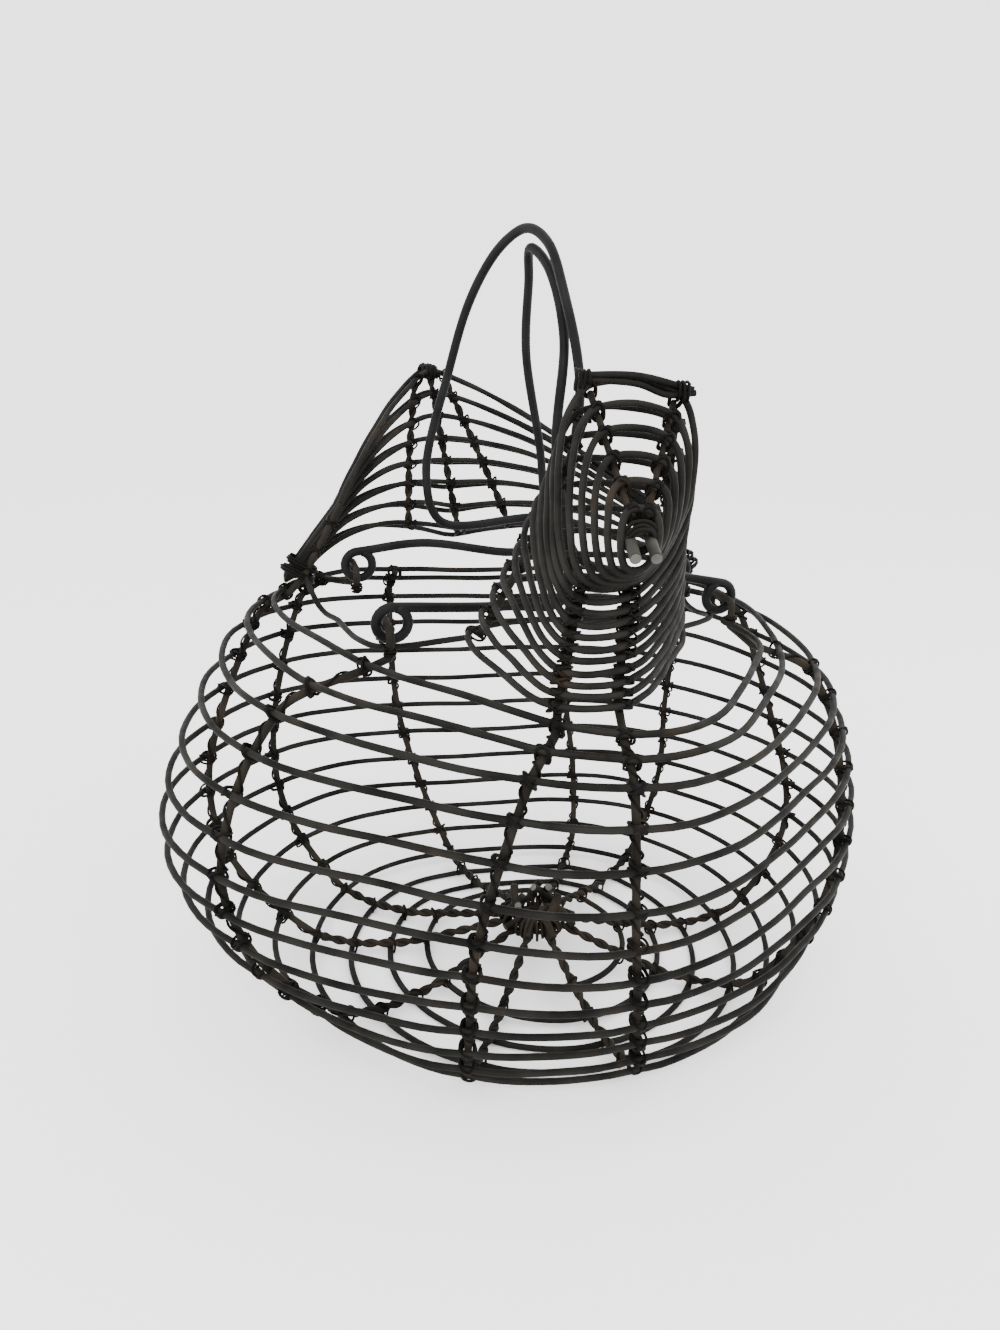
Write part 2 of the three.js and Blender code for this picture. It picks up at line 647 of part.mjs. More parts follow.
// Bails: each end curls into an open eye round its hook, the rest is bent by hand
const eyeRadius = (EYE_BORE + BAIL_WIRE) / 2;
const eyeOffset = EYE_BORE / 2 - RIB_WIRE / 2 - SEAT_GAP;
function eye(hingeX, y, side) {
  const centre = new THREE.Vector3(hingeX + side * eyeOffset, y, HINGE_HEIGHT);
  const turnBack = 270 + (90 - EYE_START);
  return spread(12).map((t) => {
    const a = radians(90 + turnBack * (1 - t));
    return centre.clone().add(new THREE.Vector3(side * eyeRadius * Math.cos(a), 0, eyeRadius * Math.sin(a)));
  });
}
function bailRun(hingeX, [firstY, secondY], side, bends) {
  const first = eye(hingeX, firstY, side);
  const second = eye(hingeX, secondY, side).reverse();
  const middle = bent([first.at(-1), ...bends.map(aboveRim), second[0]], BAIL_BEND);
  return [...first.slice(0, -1), ...middle, ...second.slice(1)];
}
const leftBail = bailRun(LEFT_HINGE_X, LEFT_HINGE_Y, 1, LEFT_BAIL);
const rightBail = bailRun(RIGHT_HINGE_X, RIGHT_HINGE_Y, -1, RIGHT_BAIL);
add("left_bail", tube(leftBail, BAIL_WIRE, BAIL_SIDES), bailIron);
add("right_bail", tube(rightBail, BAIL_WIRE, BAIL_SIDES), bailIron);

// The origin lies on the ground under the middle of the whole basket
const bounds = new THREE.Box3().setFromObject(basket);
const middle = bounds.getCenter(new THREE.Vector3());
basket.position.set(-middle.x, -middle.y, -bounds.min.z);

export default basket;
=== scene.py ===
import math

import bpy
import numpy as np
from mathutils import Matrix, Vector


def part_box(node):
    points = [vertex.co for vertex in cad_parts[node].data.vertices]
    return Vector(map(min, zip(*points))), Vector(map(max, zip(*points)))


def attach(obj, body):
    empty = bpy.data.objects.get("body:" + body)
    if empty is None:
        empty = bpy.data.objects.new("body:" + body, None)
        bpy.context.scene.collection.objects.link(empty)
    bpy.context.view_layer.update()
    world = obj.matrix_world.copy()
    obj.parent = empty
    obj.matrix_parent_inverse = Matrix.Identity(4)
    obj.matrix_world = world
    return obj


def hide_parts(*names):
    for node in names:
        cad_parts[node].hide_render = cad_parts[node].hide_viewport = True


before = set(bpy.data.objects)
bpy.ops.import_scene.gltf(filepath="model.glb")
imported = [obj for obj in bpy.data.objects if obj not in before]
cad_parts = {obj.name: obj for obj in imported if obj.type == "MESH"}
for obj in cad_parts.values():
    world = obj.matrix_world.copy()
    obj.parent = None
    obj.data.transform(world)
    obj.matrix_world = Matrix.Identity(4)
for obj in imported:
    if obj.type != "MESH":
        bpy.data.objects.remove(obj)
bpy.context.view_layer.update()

# Camera of the photograph: place, its right and up axes, and its focal length in pixels
PHOTO_HEIGHT = 1330
FOCAL_PIXELS = 991
CAMERA_PLACE = Vector((-0.10804, -0.32699, 0.2360))
CAMERA_RIGHT = Vector((0.9606, -0.2723, 0.0564))
CAMERA_UP = Vector((0.0424, 0.3440, 0.9380))
SENSOR_HEIGHT = 36.0
NEAREST_SEEN = 0.01


def make_camera():
    data = bpy.data.cameras.new("camera")
    data.sensor_fit = "VERTICAL"
    data.sensor_height = SENSOR_HEIGHT
    data.lens = SENSOR_HEIGHT * FOCAL_PIXELS / PHOTO_HEIGHT
    data.clip_start = NEAREST_SEEN
    camera = bpy.data.objects.new("camera", data)
    bpy.context.scene.collection.objects.link(camera)
    right = CAMERA_RIGHT.normalized()
    back = right.cross(CAMERA_UP).normalized()
    up = back.cross(right)
    turn = Matrix((right, up, back)).transposed().to_4x4()
    camera.matrix_world = Matrix.Translation(CAMERA_PLACE) @ turn
    bpy.context.scene.camera = camera


make_camera()

# Bodies that pieces ride on, and the slots of the part's wires
BASKET = "basket"
WINDING_SLOT = "winding_wire"
RIB_SLOT = "rib_wire"
BAIL_SLOT = "bail_wire"

# Wire gauges, as in the part, and the thinner wires that tie and wrap
WINDING_WIRE = 2.3
RIB_WIRE = 3.0
RING_WIRE = 2.2
BAIL_WIRE = 3.4
SEAT_GAP = 0.35
POST_GAP = 0.6
FLAT_DEPTH = 0.5
DRAWN_RIB_WIRE = RIB_WIRE * 0.94
TIE_WIRE = 0.9
FOOT_WRAP_WIRE = 1.1
HUB_WRAP_WIRE = 1.2
WRAP_WIRE = 1.3
HUB_END = 3.0
BEAK_END = 3.2
CUT_FACE_SHARE = 0.92
STRAND_WIRE = 1.9
STRAND_OFFSET = 0.85
TWIST_PITCH = 12

# Sides of each kind of wire's round section
THIN_SIDES = 6
WRAP_SIDES = 7
STRAND_SIDES = 8
RING_SIDES = 9
WINDING_SIDES = 10
BEAK_SIDES = 12
BAIL_SIDES = 14
RING_UNEVEN = 0.04

# The wound body
FIRST_ANGLE = 253
LAST_TURN = 16.12
SIDE_TURN = 3.9
RIM_TURN = 16
REST_TURNS = (1.5, 2.6)
HUB_HEIGHT = 11
FOOT_HEIGHT = 7
LOW_BELLY_HEIGHT = 35
BELLY_HEIGHT = 71
RIM_HEIGHT = 129.5
SHOULDER_DROP = 10.5
HUB_RADIUS = 7.5
HUB_WIRE = 3.2
HUB_REACH = HUB_RADIUS + HUB_WIRE / 2 - SEAT_GAP / 2
HUB_TURN = -1.6
SIDE_STATIONS = (4, 7, 10, 14)
STATION_TURNS = (HUB_TURN, 0, 2, *SIDE_STATIONS, RIM_TURN)
STATION_REACH = {
    "chest": (HUB_REACH, 30, 56, 77, 89, 100, 96, 84),
    "flank": (HUB_REACH, 30, 57, 83, 97, 99, 88, 66),
    "side": (HUB_REACH, 31, 59, 88, 120, 127, 104, 74),
    "corner": (HUB_REACH, 31, 58, 84, 110, 118, 120, 114),
    "rear": (HUB_REACH, 29, 51, 73, 88, 95, 99, 94),
}
STATION_SHIFT = (0, 0, 0, 0, -3, -7, -4, -1)
AROUND = ("side", "corner", "rear", "corner", "side", "flank", "chest", "flank")

# Ribs: name, angle at the foot and at the rim, in degrees from +X
RIBS = (
    ("rib_front_left", -123, -109),
    ("rib_front_right", -83, -96),
    ("rib_right_front", -34, -6),
    ("rib_right", 0, 29),
    ("rib_right_rear", 40, 41),
    ("rib_rear_right", 60, 68),
    ("rib_rear_left", 105, 112),
    ("rib_left_rear", 147, 128),
    ("rib_left", 170, 140),
    ("rib_left_front", 203, 193),
)

# Neck and head: corners of the lowest ring and the top ring, with heights above the rim
NECK_RINGS = 11
NECK_BASE = {
    "rearLeft": (-33, -6, 5),
    "leftSide": (-33, -49, 4),
    "frontLeft": (-26, -71, 3.9),
    "frontRight": (-7, -73, 3.9),
    "rightSide": (20, -44, 4),
    "rearRight": (40, -6, 5),
}
NECK_TOP = {
    "rearLeft": (-7, -25, 85.5),
    "leftSide": (-21, -45, 58.5),
    "frontLeft": (-20, -63, 36.5),
    "frontRight": (-4, -64, 36.5),
    "rightSide": (21, -43, 56.5),
    "rearRight": (21, -31, 83.5),
}
HEAD_RINGS = 5
BEAK_TIP = (-10, -84, 47.5)
HEAD_DRAW_IN = 0.74
BEAK_LENGTH = 9
BEAK_TAIL = 4
BEAK_REACH = 5.5
NECK_REAR_DRAW = 0.5
CROWN_OVERHANG = 3
CROWN_RISE = 2

# Tail
TAIL_LOOPS = 8
TAIL_HALF_WIDTH = 81
TAIL_CORNER_Y = 77
TAIL_TOP_HALF_WIDTH = 66
TAIL_TOP_CORNER_Y = 80
TAIL_STACK_HEIGHT = 28
TAIL_RIDGE_FOOT = (-12, 101, 14.5)
TAIL_PEAK = (-20, 135, 78.5)
TAIL_DEPTH_FOOT = 12
TAIL_DEPTH_PEAK = 9
TAIL_TURN_RADIUS = 3
TAIL_RIDGE_ROUNDING = 0.3
TAIL_SWEEP = (0.32, 0.6)
TAIL_BOW = 8
BUNDLE_SPREAD = 0.85
BUNDLE_DROP = 3
TAIL_SIDE_RIB_FOOT = 22
TAIL_SIDE_RIB_PEAK = 5.5

# Hinges and bails
HINGE_HEIGHT = RIM_HEIGHT + 8.7
LEFT_HINGE_X = -62
LEFT_HINGE_Y = (-8, 66)
RIGHT_HINGE_X = 68
RIGHT_HINGE_Y = (12, 50)
HOOK_HALF_LENGTH = 7.5
HOOK_DROP = 9
EYE_BORE = 7.2
EYE_START = 16
RIM_SAG = 3.6
LEFT_BAIL = (
    (-20, 0, 11),
    (2, 4, 12),
    (-1.6, 14, 63.5),
    (1.2, 22, 97.5),
    (-2, 33, 118.5),
    (-5, 46, 125),
    (-2, 55, 114.5),
    (0.2, 60, 90.5),
    (11.5, 66, 47),
    (13, 66.5, 15),
    (1.5, 66, 13),
    (-35, 66.5, 17),
)
RIGHT_BAIL = (
    (47, 13, 17),
    (8, 13, 25.5),
    (5.4, 15, 84.5),
    (-0.4, 22, 112.5),
    (-3, 33, 126.5),
    (-7, 46, 131.2),
    (-13, 58, 124.5),
    (-19.5, 70, 107),
    (-25, 76, 81.5),
    (-33, 74, 42.5),
    (-27, 71.5, 24.5),
    (17, 71, 26),
    (48, 54, 19.5),
)

# Where the design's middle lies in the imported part, in millimetres
hub_low, hub_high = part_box("hub_ring")
ORIGIN = np.array([(hub_low.x + hub_high.x) * 500, (hub_low.y + hub_high.y) * 500, 0.0])
SEED = 11
chance = np.random.default_rng(SEED)


# Points and directions
FRONT = np.array([0.0, -1, 0])


def unit(v):
    return v / np.linalg.norm(v)


def mix(a, b, t):
    return np.asarray(a, float) * (1 - t) + np.asarray(b, float) * t


def outward_at(a):
    return np.array([math.cos(a), math.sin(a), 0])


def beside(out):
    return np.array([-out[1], out[0], 0])


def raised(height):
    return np.array([0, 0, height])


def above_rim(p):
    return np.array([p[0], p[1], RIM_HEIGHT + p[2]], float)


def curve_through(places, values):
    """A smooth curve through the values, level beyond its ends."""
    last = len(places) - 1

    def slope(i):
        low, high = max(i - 1, 0), min(i + 1, last)
        return (values[high] - values[low]) / (places[high] - places[low])

    def at(x):
        i = 0
        while i < last - 1 and x > places[i + 1]:
            i += 1
        span = places[i + 1] - places[i]
        t = min(max((x - places[i]) / span, 0), 1)
        rise = (t * (1 - t) ** 2 * slope(i) - t * t * (1 - t) * slope(i + 1)) * span
        return values[i] + (values[i + 1] - values[i]) * t * t * (3 - 2 * t) + rise

    return at


TURN_STEP = 0.05
ANGLE_STEP = 0.5
CROSSING_TRIES = 4
LAST_SLOPED_TURN = RIM_TURN - 0.06
rest_height = WINDING_WIRE / 2 - FLAT_DEPTH
height_at = curve_through(
    (HUB_TURN, *REST_TURNS, *SIDE_STATIONS, RIM_TURN),
    (HUB_HEIGHT, rest_height, rest_height, FOOT_HEIGHT, LOW_BELLY_HEIGHT, BELLY_HEIGHT,
     RIM_HEIGHT - SHOULDER_DROP, RIM_HEIGHT),
)
reach_at = {key: curve_through(STATION_TURNS, values) for key, values in STATION_REACH.items()}
shift_at = curve_through(STATION_TURNS, STATION_SHIFT)


def radius_at(turn, angle):
    place = (angle % 360) / 360 * len(AROUND)
    i = int(place)
    t = place - i

    def value(k):
        return reach_at[AROUND[k % len(AROUND)]](turn)

    def slope(k):
        return (value(k + 1) - value(k - 1)) / 2

    rise = t * (1 - t) ** 2 * slope(i) - t * t * (1 - t) * slope(i + 1)
    return value(i) + (value(i + 1) - value(i)) * t * t * (3 - 2 * t) + rise


def surface(turn, angle):
    radius = radius_at(turn, angle)
    a = math.radians(angle)
    flat = REST_TURNS[0] < turn < REST_TURNS[1]
    height = rest_height if flat else height_at(turn)
    return np.array([radius * math.cos(a) + shift_at(turn), radius * math.sin(a), height])


def upward(turn, angle):
    """Along the surface, from one turn of the winding towards the next."""
    return surface(turn + TURN_STEP, angle) - surface(turn - TURN_STEP, angle)


def inward(turn, angle):
    turn = min(turn, LAST_SLOPED_TURN)
    around = surface(turn, angle + ANGLE_STEP) - surface(turn, angle - ANGLE_STEP)
    return -unit(np.cross(around, upward(turn, angle)))


def rib_angle(rib, turn):
    """The angle of a rib's place on a turn, in degrees from +X."""
    t = min(max((turn - SIDE_TURN) / (RIM_TURN - SIDE_TURN), 0), 1)
    return rib[1] + (rib[2] - rib[1]) * t


def rib_crossings(rib):
    """The turns at which the winding crosses a rib, from the hub to the rim."""
    turns = []
    for n in range(-1, RIM_TURN + 2):
        turn = n
        for _ in range(CROSSING_TRIES):
            turn = n + (rib_angle(rib, turn) - FIRST_ANGLE + 360) / 360
        if 0 < turn < LAST_TURN:
            turns.append(turn)
    return turns


# Curves through points
def smooth(points, steps, closed=False):
    """A centripetal curve through the points, with that many steps from each point to the next."""
    points = np.asarray(points, float)
    count = len(points)
    if closed:
        padded = np.vstack([points[-1:], points, points[:2]])
        spans = count
    else:
        padded = np.vstack([2 * points[0] - points[1], points, 2 * points[-1] - points[-2]])
        spans = count - 1
    out = []
    for i in range(spans):
        p0, p1, p2, p3 = padded[i:i + 4]
        t1 = math.sqrt(np.linalg.norm(p1 - p0))
        t2 = t1 + math.sqrt(np.linalg.norm(p2 - p1))
        t3 = t2 + math.sqrt(np.linalg.norm(p3 - p2))
        for k in range(steps):
            t = t1 + (t2 - t1) * k / steps
            a1 = p0 * (t1 - t) / t1 + p1 * t / t1
            a2 = (p1 * (t2 - t) + p2 * (t - t1)) / (t2 - t1)
            a3 = (p2 * (t3 - t) + p3 * (t - t2)) / (t3 - t2)
            b1 = a1 * (t2 - t) / t2 + a2 * t / t2
            b2 = (a2 * (t3 - t) + a3 * (t - t1)) / (t3 - t1)
            out.append((b1 * (t2 - t) + b2 * (t - t1)) / (t2 - t1))
    if not closed:
        out.append(points[-1])
    return np.array(out)


def bent(points, bend, steps=6):
    """Straight runs with a round bend at each inner corner."""
    out = [np.asarray(points[0], float)]
    for before, corner, after in zip(points, points[1:], points[2:]):
        into, onward = before - corner, after - corner
        reach = min(bend, 0.45 * np.linalg.norm(into), 0.45 * np.linalg.norm(onward))
        first, last = corner + unit(into) * reach, corner + unit(onward) * reach
        for t in np.linspace(0, 1, steps + 1):
            out.append(first * (1 - t) ** 2 + corner * 2 * t * (1 - t) + last * t * t)
    out.append(np.asarray(points[-1], float))
    return np.array(out)


def evenly(points, step, closed=False):
    """The same line with points about one step apart."""
    line = np.vstack([points, points[:1]]) if closed else np.asarray(points, float)
    along = np.concatenate([[0], np.cumsum(np.linalg.norm(np.diff(line, axis=0), axis=1))])
    count = max(int(round(along[-1] / step)), 8 if closed else 2)
    marks = np.linspace(0, along[-1], count + 1)
    if closed:
        marks = marks[:-1]
    return np.column_stack([np.interp(marks, along, line[:, k]) for k in range(3)])


WAVE_SHARES = (0.6, 1.0, 1.9)


def wander(points, amount, length, closed=False):
    """Shifts a line sideways by a smooth hand-made waver."""
    gaps = np.linalg.norm(np.diff(points, axis=0), axis=1)
    along = np.concatenate([[0], np.cumsum(gaps)])
    whole = along[-1]
    shift = np.zeros_like(points)
    for axis in range(3):
        for share in WAVE_SHARES:
            waves = max(whole / (length / share), 1)
            if closed:
                waves = round(waves)
            phase = chance.uniform(0, 2 * math.pi)
            shift[:, axis] += np.sin(2 * math.pi * waves * along / whole + phase) / (3 * share)
    if not closed:
        ease = np.minimum(np.minimum(along, whole - along) / length, 1)
        shift *= ease[:, None]
    return points + shift * amount


STEEP = 0.9


def frames(points, closed=False):
    """Tangents and carried normals along a line."""
    if closed:
        tangents = np.roll(points, -1, 0) - np.roll(points, 1, 0)
    else:
        tangents = np.gradient(points, axis=0)
    tangents = tangents / np.linalg.norm(tangents, axis=1)[:, None]
    steep = abs(tangents[0][2]) > STEEP
    start = np.array([0.0, 1, 0]) if steep else np.array([0.0, 0, 1])
    normals = np.empty_like(tangents)
    normals[0] = unit(start - tangents[0] * (start @ tangents[0]))
    for i in range(1, len(points)):
        carried = normals[i - 1] - tangents[i] * (normals[i - 1] @ tangents[i])
        normals[i] = unit(carried)
    return tangents, normals


def twisted(points, pitch, offset, phase=0.0):
    """A strand that winds round a line at an offset."""
    tangents, normals = frames(points)
    across = np.cross(tangents, normals)
    along = np.concatenate([[0], np.cumsum(np.linalg.norm(np.diff(points, axis=0), axis=1))])
    a = (2 * math.pi * along / pitch + phase)[:, None]
    return points + offset * (np.cos(a) * normals + np.sin(a) * across)


COIL_STEPS = 14
COIL_SWAY_PITCH = 0.37
COIL_ACROSS = (0.3, 0.5, 0.8)
WIDEST_PHASE = 6


def any_phase():
    return chance.uniform(0, WIDEST_PHASE)


def coil(start, end, radius, turns, sway=0.15):
    """A wrap of thin wire round the straight line from start to end."""
    start, end = np.asarray(start, float), np.asarray(end, float)
    axis = unit(end - start)
    side = unit(np.cross(axis, COIL_ACROSS))
    other = np.cross(axis, side)
    t = np.linspace(0, 1, int(turns * COIL_STEPS) + 1)[:, None]
    a = 2 * math.pi * turns * t + any_phase()
    r = radius + sway * np.sin(a * COIL_SWAY_PITCH + any_phase())
    return start + (end - start) * t + r * (np.cos(a) * side + np.sin(a) * other)


# Meshes of round wire, a little thinner in places
UNEVEN_SPAN = 14
MILLIMETRE = 0.001


class Wires:
    """Collects wires into one mesh."""

    def __init__(self):
        self.points = []
        self.faces = []
        self.smooth = []
        self.count = 0

    def add(self, line, diameter, sides, closed=False, uneven=0.03):
        """Draws one wire along the line. Its gauge drops by up to the uneven share."""
        line = np.asarray(line, float)
        count = len(line)
        tangents, normals = frames(line, closed)
        across = np.cross(tangents, normals)
        radius = np.full(count, diameter / 2)
        marks = np.arange(count) / count * 2 * math.pi
        waves = max(2, count // UNEVEN_SPAN)
        radius *= 1 - uneven * (0.5 + 0.5 * np.sin(marks * waves + any_phase()))
        a = 2 * math.pi * (np.arange(sides) + 0.5) / sides
        turn = np.zeros(count)
        if closed:
            back = unit(normals[-1] - tangents[0] * (normals[-1] @ tangents[0]))
            twist = math.atan2(np.cross(back, normals[0]) @ tangents[0], back @ normals[0])
            turn = twist * np.arange(count) / count
        a = a[None, :] + turn[:, None]
        ring = np.cos(a)[:, :, None] * normals[:, None] + np.sin(a)[:, :, None] * across[:, None]
        shell = (line[:, None] + ring * radius[:, None, None]).reshape(-1, 3)
        shell[:, 2] = np.maximum(shell[:, 2], 0)
        base = self.count
        spans = count if closed else count - 1
        for i in range(spans):
            low = base + i * sides
            high = base + (i + 1) % count * sides
            for k in range(sides):
                m = (k + 1) % sides
                self.faces.append((low + k, low + m, high + m, high + k))
                self.smooth.append(True)
        if not closed:
            self.faces.append(tuple(base + k for k in reversed(range(sides))))
            self.faces.append(tuple(base + (count - 1) * sides + k for k in range(sides)))
            self.smooth += [False, False]
        self.points.append(shell)
        self.count += len(shell)

    def piece(self, name, material, body, slot, nodes=()):
        """Makes the mesh, which rides on the body and takes the place of the nodes."""
        vertices = (np.vstack(self.points) + ORIGIN) * MILLIMETRE
        mesh = bpy.data.meshes.new(name)
        mesh.from_pydata(vertices.tolist(), [], self.faces)
        mesh.polygons.foreach_set("use_smooth", self.smooth)
        mesh.materials.append(material)
        mesh.update()
        obj = bpy.data.objects.new(name, mesh)
        bpy.context.scene.collection.objects.link(obj)
        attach(obj, body)
        if nodes:
            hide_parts(*nodes)


def wire_piece(name, material, slot, line, diameter, sides, closed=False, uneven=0.03):
    """One wire of the basket that takes the place of the node of that name."""
    wires = Wires()
    wires.add(line, diameter, sides, closed, uneven)
    wires.piece(f"{name}_wire", material, BASKET, slot, (name,))


# Old iron: the scales of its mottling and its rust, and the depth of its rough skin
TONE_SCALE = 70
RUST_SCALE = 45
POLISH_SCALE = 160
GRAIN_SCALE = 900
GRAIN_STRENGTH = 0.35
GRAIN_DEPTH = 0.0002
TONE_RANGE = (0.36, 0.64)
POLISH_RANGE = (0.3, 0.7)
RUST_EDGE = 0.12
WORN_SMOOTHER = 0.1
PITTED_ROUGHER = 0.12
BLACK = (0, 0, 0)
WHITE = (1, 1, 1)

# Sockets of a colour mix: its factor, its two colours and its result
MIX_FACTOR = 0
MIX_FIRST = 6
MIX_SECOND = 7
MIX_RESULT = 2


def iron(name, dark, light, rust, rust_start, roughness, gloss):
    """Dull iron: two tones mottled along the wire, rust in patches, and a fine rough skin."""
    material = bpy.data.materials.new(name)
    material.use_nodes = True
    tree = material.node_tree
    shader = tree.nodes["Principled BSDF"]
    place = tree.nodes.new("ShaderNodeTexCoord")

    def noise(scale, detail):
        node = tree.nodes.new("ShaderNodeTexNoise")
        node.inputs["Scale"].default_value = scale
        node.inputs["Detail"].default_value = detail
        tree.links.new(place.outputs["Object"], node.inputs["Vector"])
        return node.outputs["Fac"]

    def ramp(source, low, high, first, second):
        node = tree.nodes.new("ShaderNodeValToRGB")
        ends = zip(node.color_ramp.elements, (low, high), (first, second))
        for element, position, color in ends:
            element.position = position
            element.color = (*color, 1)
        tree.links.new(source, node.inputs["Fac"])
        return node.outputs["Color"]

    tone = ramp(noise(TONE_SCALE, 5), *TONE_RANGE, dark, light)
    patches = ramp(noise(RUST_SCALE, 6), rust_start, rust_start + RUST_EDGE, BLACK, WHITE)
    blend = tree.nodes.new("ShaderNodeMix")
    blend.data_type = "RGBA"
    tree.links.new(patches, blend.inputs[MIX_FACTOR])
    tree.links.new(tone, blend.inputs[MIX_FIRST])
    blend.inputs[MIX_SECOND].default_value = (*rust, 1)
    tree.links.new(blend.outputs[MIX_RESULT], shader.inputs["Base Color"])
    worn = (roughness - WORN_SMOOTHER,) * 3
    pitted = (roughness + PITTED_ROUGHER,) * 3
    polish = ramp(noise(POLISH_SCALE, 4), *POLISH_RANGE, worn, pitted)
    tree.links.new(polish, shader.inputs["Roughness"])
    bump = tree.nodes.new("ShaderNodeBump")
    bump.inputs["Strength"].default_value = GRAIN_STRENGTH
    bump.inputs["Distance"].default_value = GRAIN_DEPTH
    tree.links.new(noise(GRAIN_SCALE, 3), bump.inputs["Height"])
    tree.links.new(bump.outputs["Normal"], shader.inputs["Normal"])
    shader.inputs["Metallic"].default_value = 0.0
    shader.inputs["Specular IOR Level"].default_value = gloss
    return material


WINDING_IRON = iron(
    "winding_iron",
    dark=(0.0045, 0.0043, 0.0038),
    light=(0.0135, 0.0127, 0.011),
    rust=(0.020, 0.0145, 0.0095),
    rust_start=0.62,
    roughness=0.56,
    gloss=0.05,
)
RIB_IRON = iron(
    "rib_iron",
    dark=(0.005, 0.0044, 0.0035),
    light=(0.017, 0.0145, 0.0115),
    rust=(0.021, 0.0162, 0.0116),
    rust_start=0.54,
    roughness=0.62,
    gloss=0.05,
)
TIE_IRON = iron(
    "tie_iron",
    dark=(0.0022, 0.002, 0.0018),
    light=(0.0065, 0.006, 0.005),
    rust=(0.014, 0.010, 0.0066),
    rust_start=0.60,
    roughness=0.58,
    gloss=0.04,
)
BAIL_IRON = iron(
    "bail_iron",
    dark=(0.0035, 0.0035, 0.0037),
    light=(0.008, 0.008, 0.0083),
    rust=(0.012, 0.0095, 0.0075),
    rust_start=0.70,
    roughness=0.48,
    gloss=0.07,
)
BEAK_IRON = iron(
    "beak_iron",
    dark=(0.013, 0.012, 0.0105),
    light=(0.040, 0.038, 0.032),
    rust=(0.020, 0.015, 0.011),
    rust_start=0.56,
    roughness=0.52,
    gloss=0.10,
)
CUT_IRON = iron(
    "cut_iron",
    dark=(0.045, 0.042, 0.036),
    light=(0.11, 0.105, 0.09),
    rust=(0.04, 0.028, 0.018),
    rust_start=0.58,
    roughness=0.50,
    gloss=0.20,
)


# Ties of thin wire round a crossing: how far each loop tilts, slackens and shifts
TIE_STEPS = 18
TIE_SQUARENESS = 0.75
TIE_SWAY = 0.25
TIE_TILT = (18, 42)
TIE_SLACK_STEP = 0.12
TIE_SLACK = 0.25
TIE_SHIFT = 0.5


def tie(wires, outer, inner, along, outer_radius, inner_radius, tilt, slack):
    """One loop round an outer wire and the inner wire that it crosses."""
    across = inner - outer
    n = unit(across)
    u = unit(along - n * (along @ n))
    d = np.cross(n, u) * math.cos(tilt) + u * math.sin(tilt)
    reach_out = outer_radius + TIE_WIRE / 2
    reach_in = np.linalg.norm(across) + inner_radius + TIE_WIRE / 2
    centre = outer + n * (reach_in - reach_out) / 2
    a = (reach_in + reach_out) / 2
    b = max(outer_radius, inner_radius) + TIE_WIRE / 2
    t = np.linspace(0, 2 * math.pi, TIE_STEPS, endpoint=False)
    c, s = np.cos(t), np.sin(t)
    x = np.sign(c) * np.abs(c) ** TIE_SQUARENESS * a
    y = np.sign(s) * np.abs(s) ** TIE_SQUARENESS * b * slack
    sway = TIE_SWAY * np.sin(t + any_phase())
    ring = centre - n * x[:, None] + d * y[:, None] + np.cross(n, d) * sway[:, None]
    wires.add(ring, TIE_WIRE, THIN_SIDES, True, uneven=0.08)


def tie_crossing(wires, outer, inner, along, outer_radius, inner_radius, loops):
    """Loops that lean one way and the other, each slacker than the one under it."""
    for k in range(loops):
        tilt = math.radians(chance.uniform(*TIE_TILT)) * (1 if k % 2 else -1)
        slack = 1.0 + TIE_SLACK_STEP * k + chance.uniform(0, TIE_SLACK)
        shift = unit(along) * chance.uniform(-TIE_SHIFT, TIE_SHIFT)
        tie(wires, outer + shift, inner + shift, along, outer_radius, inner_radius, tilt, slack)


# Winding: one wire from beside the hub to the rim, drawn in a little at every rib
RIB_SEAT = (WINDING_WIRE + RIB_WIRE) / 2 + SEAT_GAP
WINDING_NODES = (
    "bottom_winding",
    "low_belly_winding",
    "middle_belly_winding",
    "high_belly_winding",
    "low_shoulder_winding",
    "middle_shoulder_winding",
    "high_shoulder_winding",
)
DRAW_IN = 0.45
DRAW_LENGTH = 0.012
STEPS_PER_TURN = 110

# Winding's end: shares of its way to the right front hook, and its turn round that hook's foot
END_SHARES = (0.35, 0.7)
END_RISE = 1.5
END_TURN = (
    (-0.5, -2.6, 1.0),
    (-2.6, 0.3, 1.6),
    (0.2, 2.6, 2.2),
    (2.7, 0.2, 2.8),
)


def winding_end(start):
    hook = np.array([RIGHT_HINGE_X, RIGHT_HINGE_Y[0] - HOOK_HALF_LENGTH, HINGE_HEIGHT - HOOK_DROP])
    last = math.atan2(start[1], start[0])
    end = math.atan2(hook[1], hook[0])
    run = [start]
    for t in END_SHARES:
        a = last + (end - last) * t
        radius = radius_at(RIM_TURN, math.degrees(a)) + WINDING_WIRE * t
        run.append(np.array([radius * math.cos(a), radius * math.sin(a), start[2] + END_RISE * t]))
    run += [hook + np.array(offset) for offset in END_TURN]
    return evenly(smooth(run, steps=12), step=1.2)


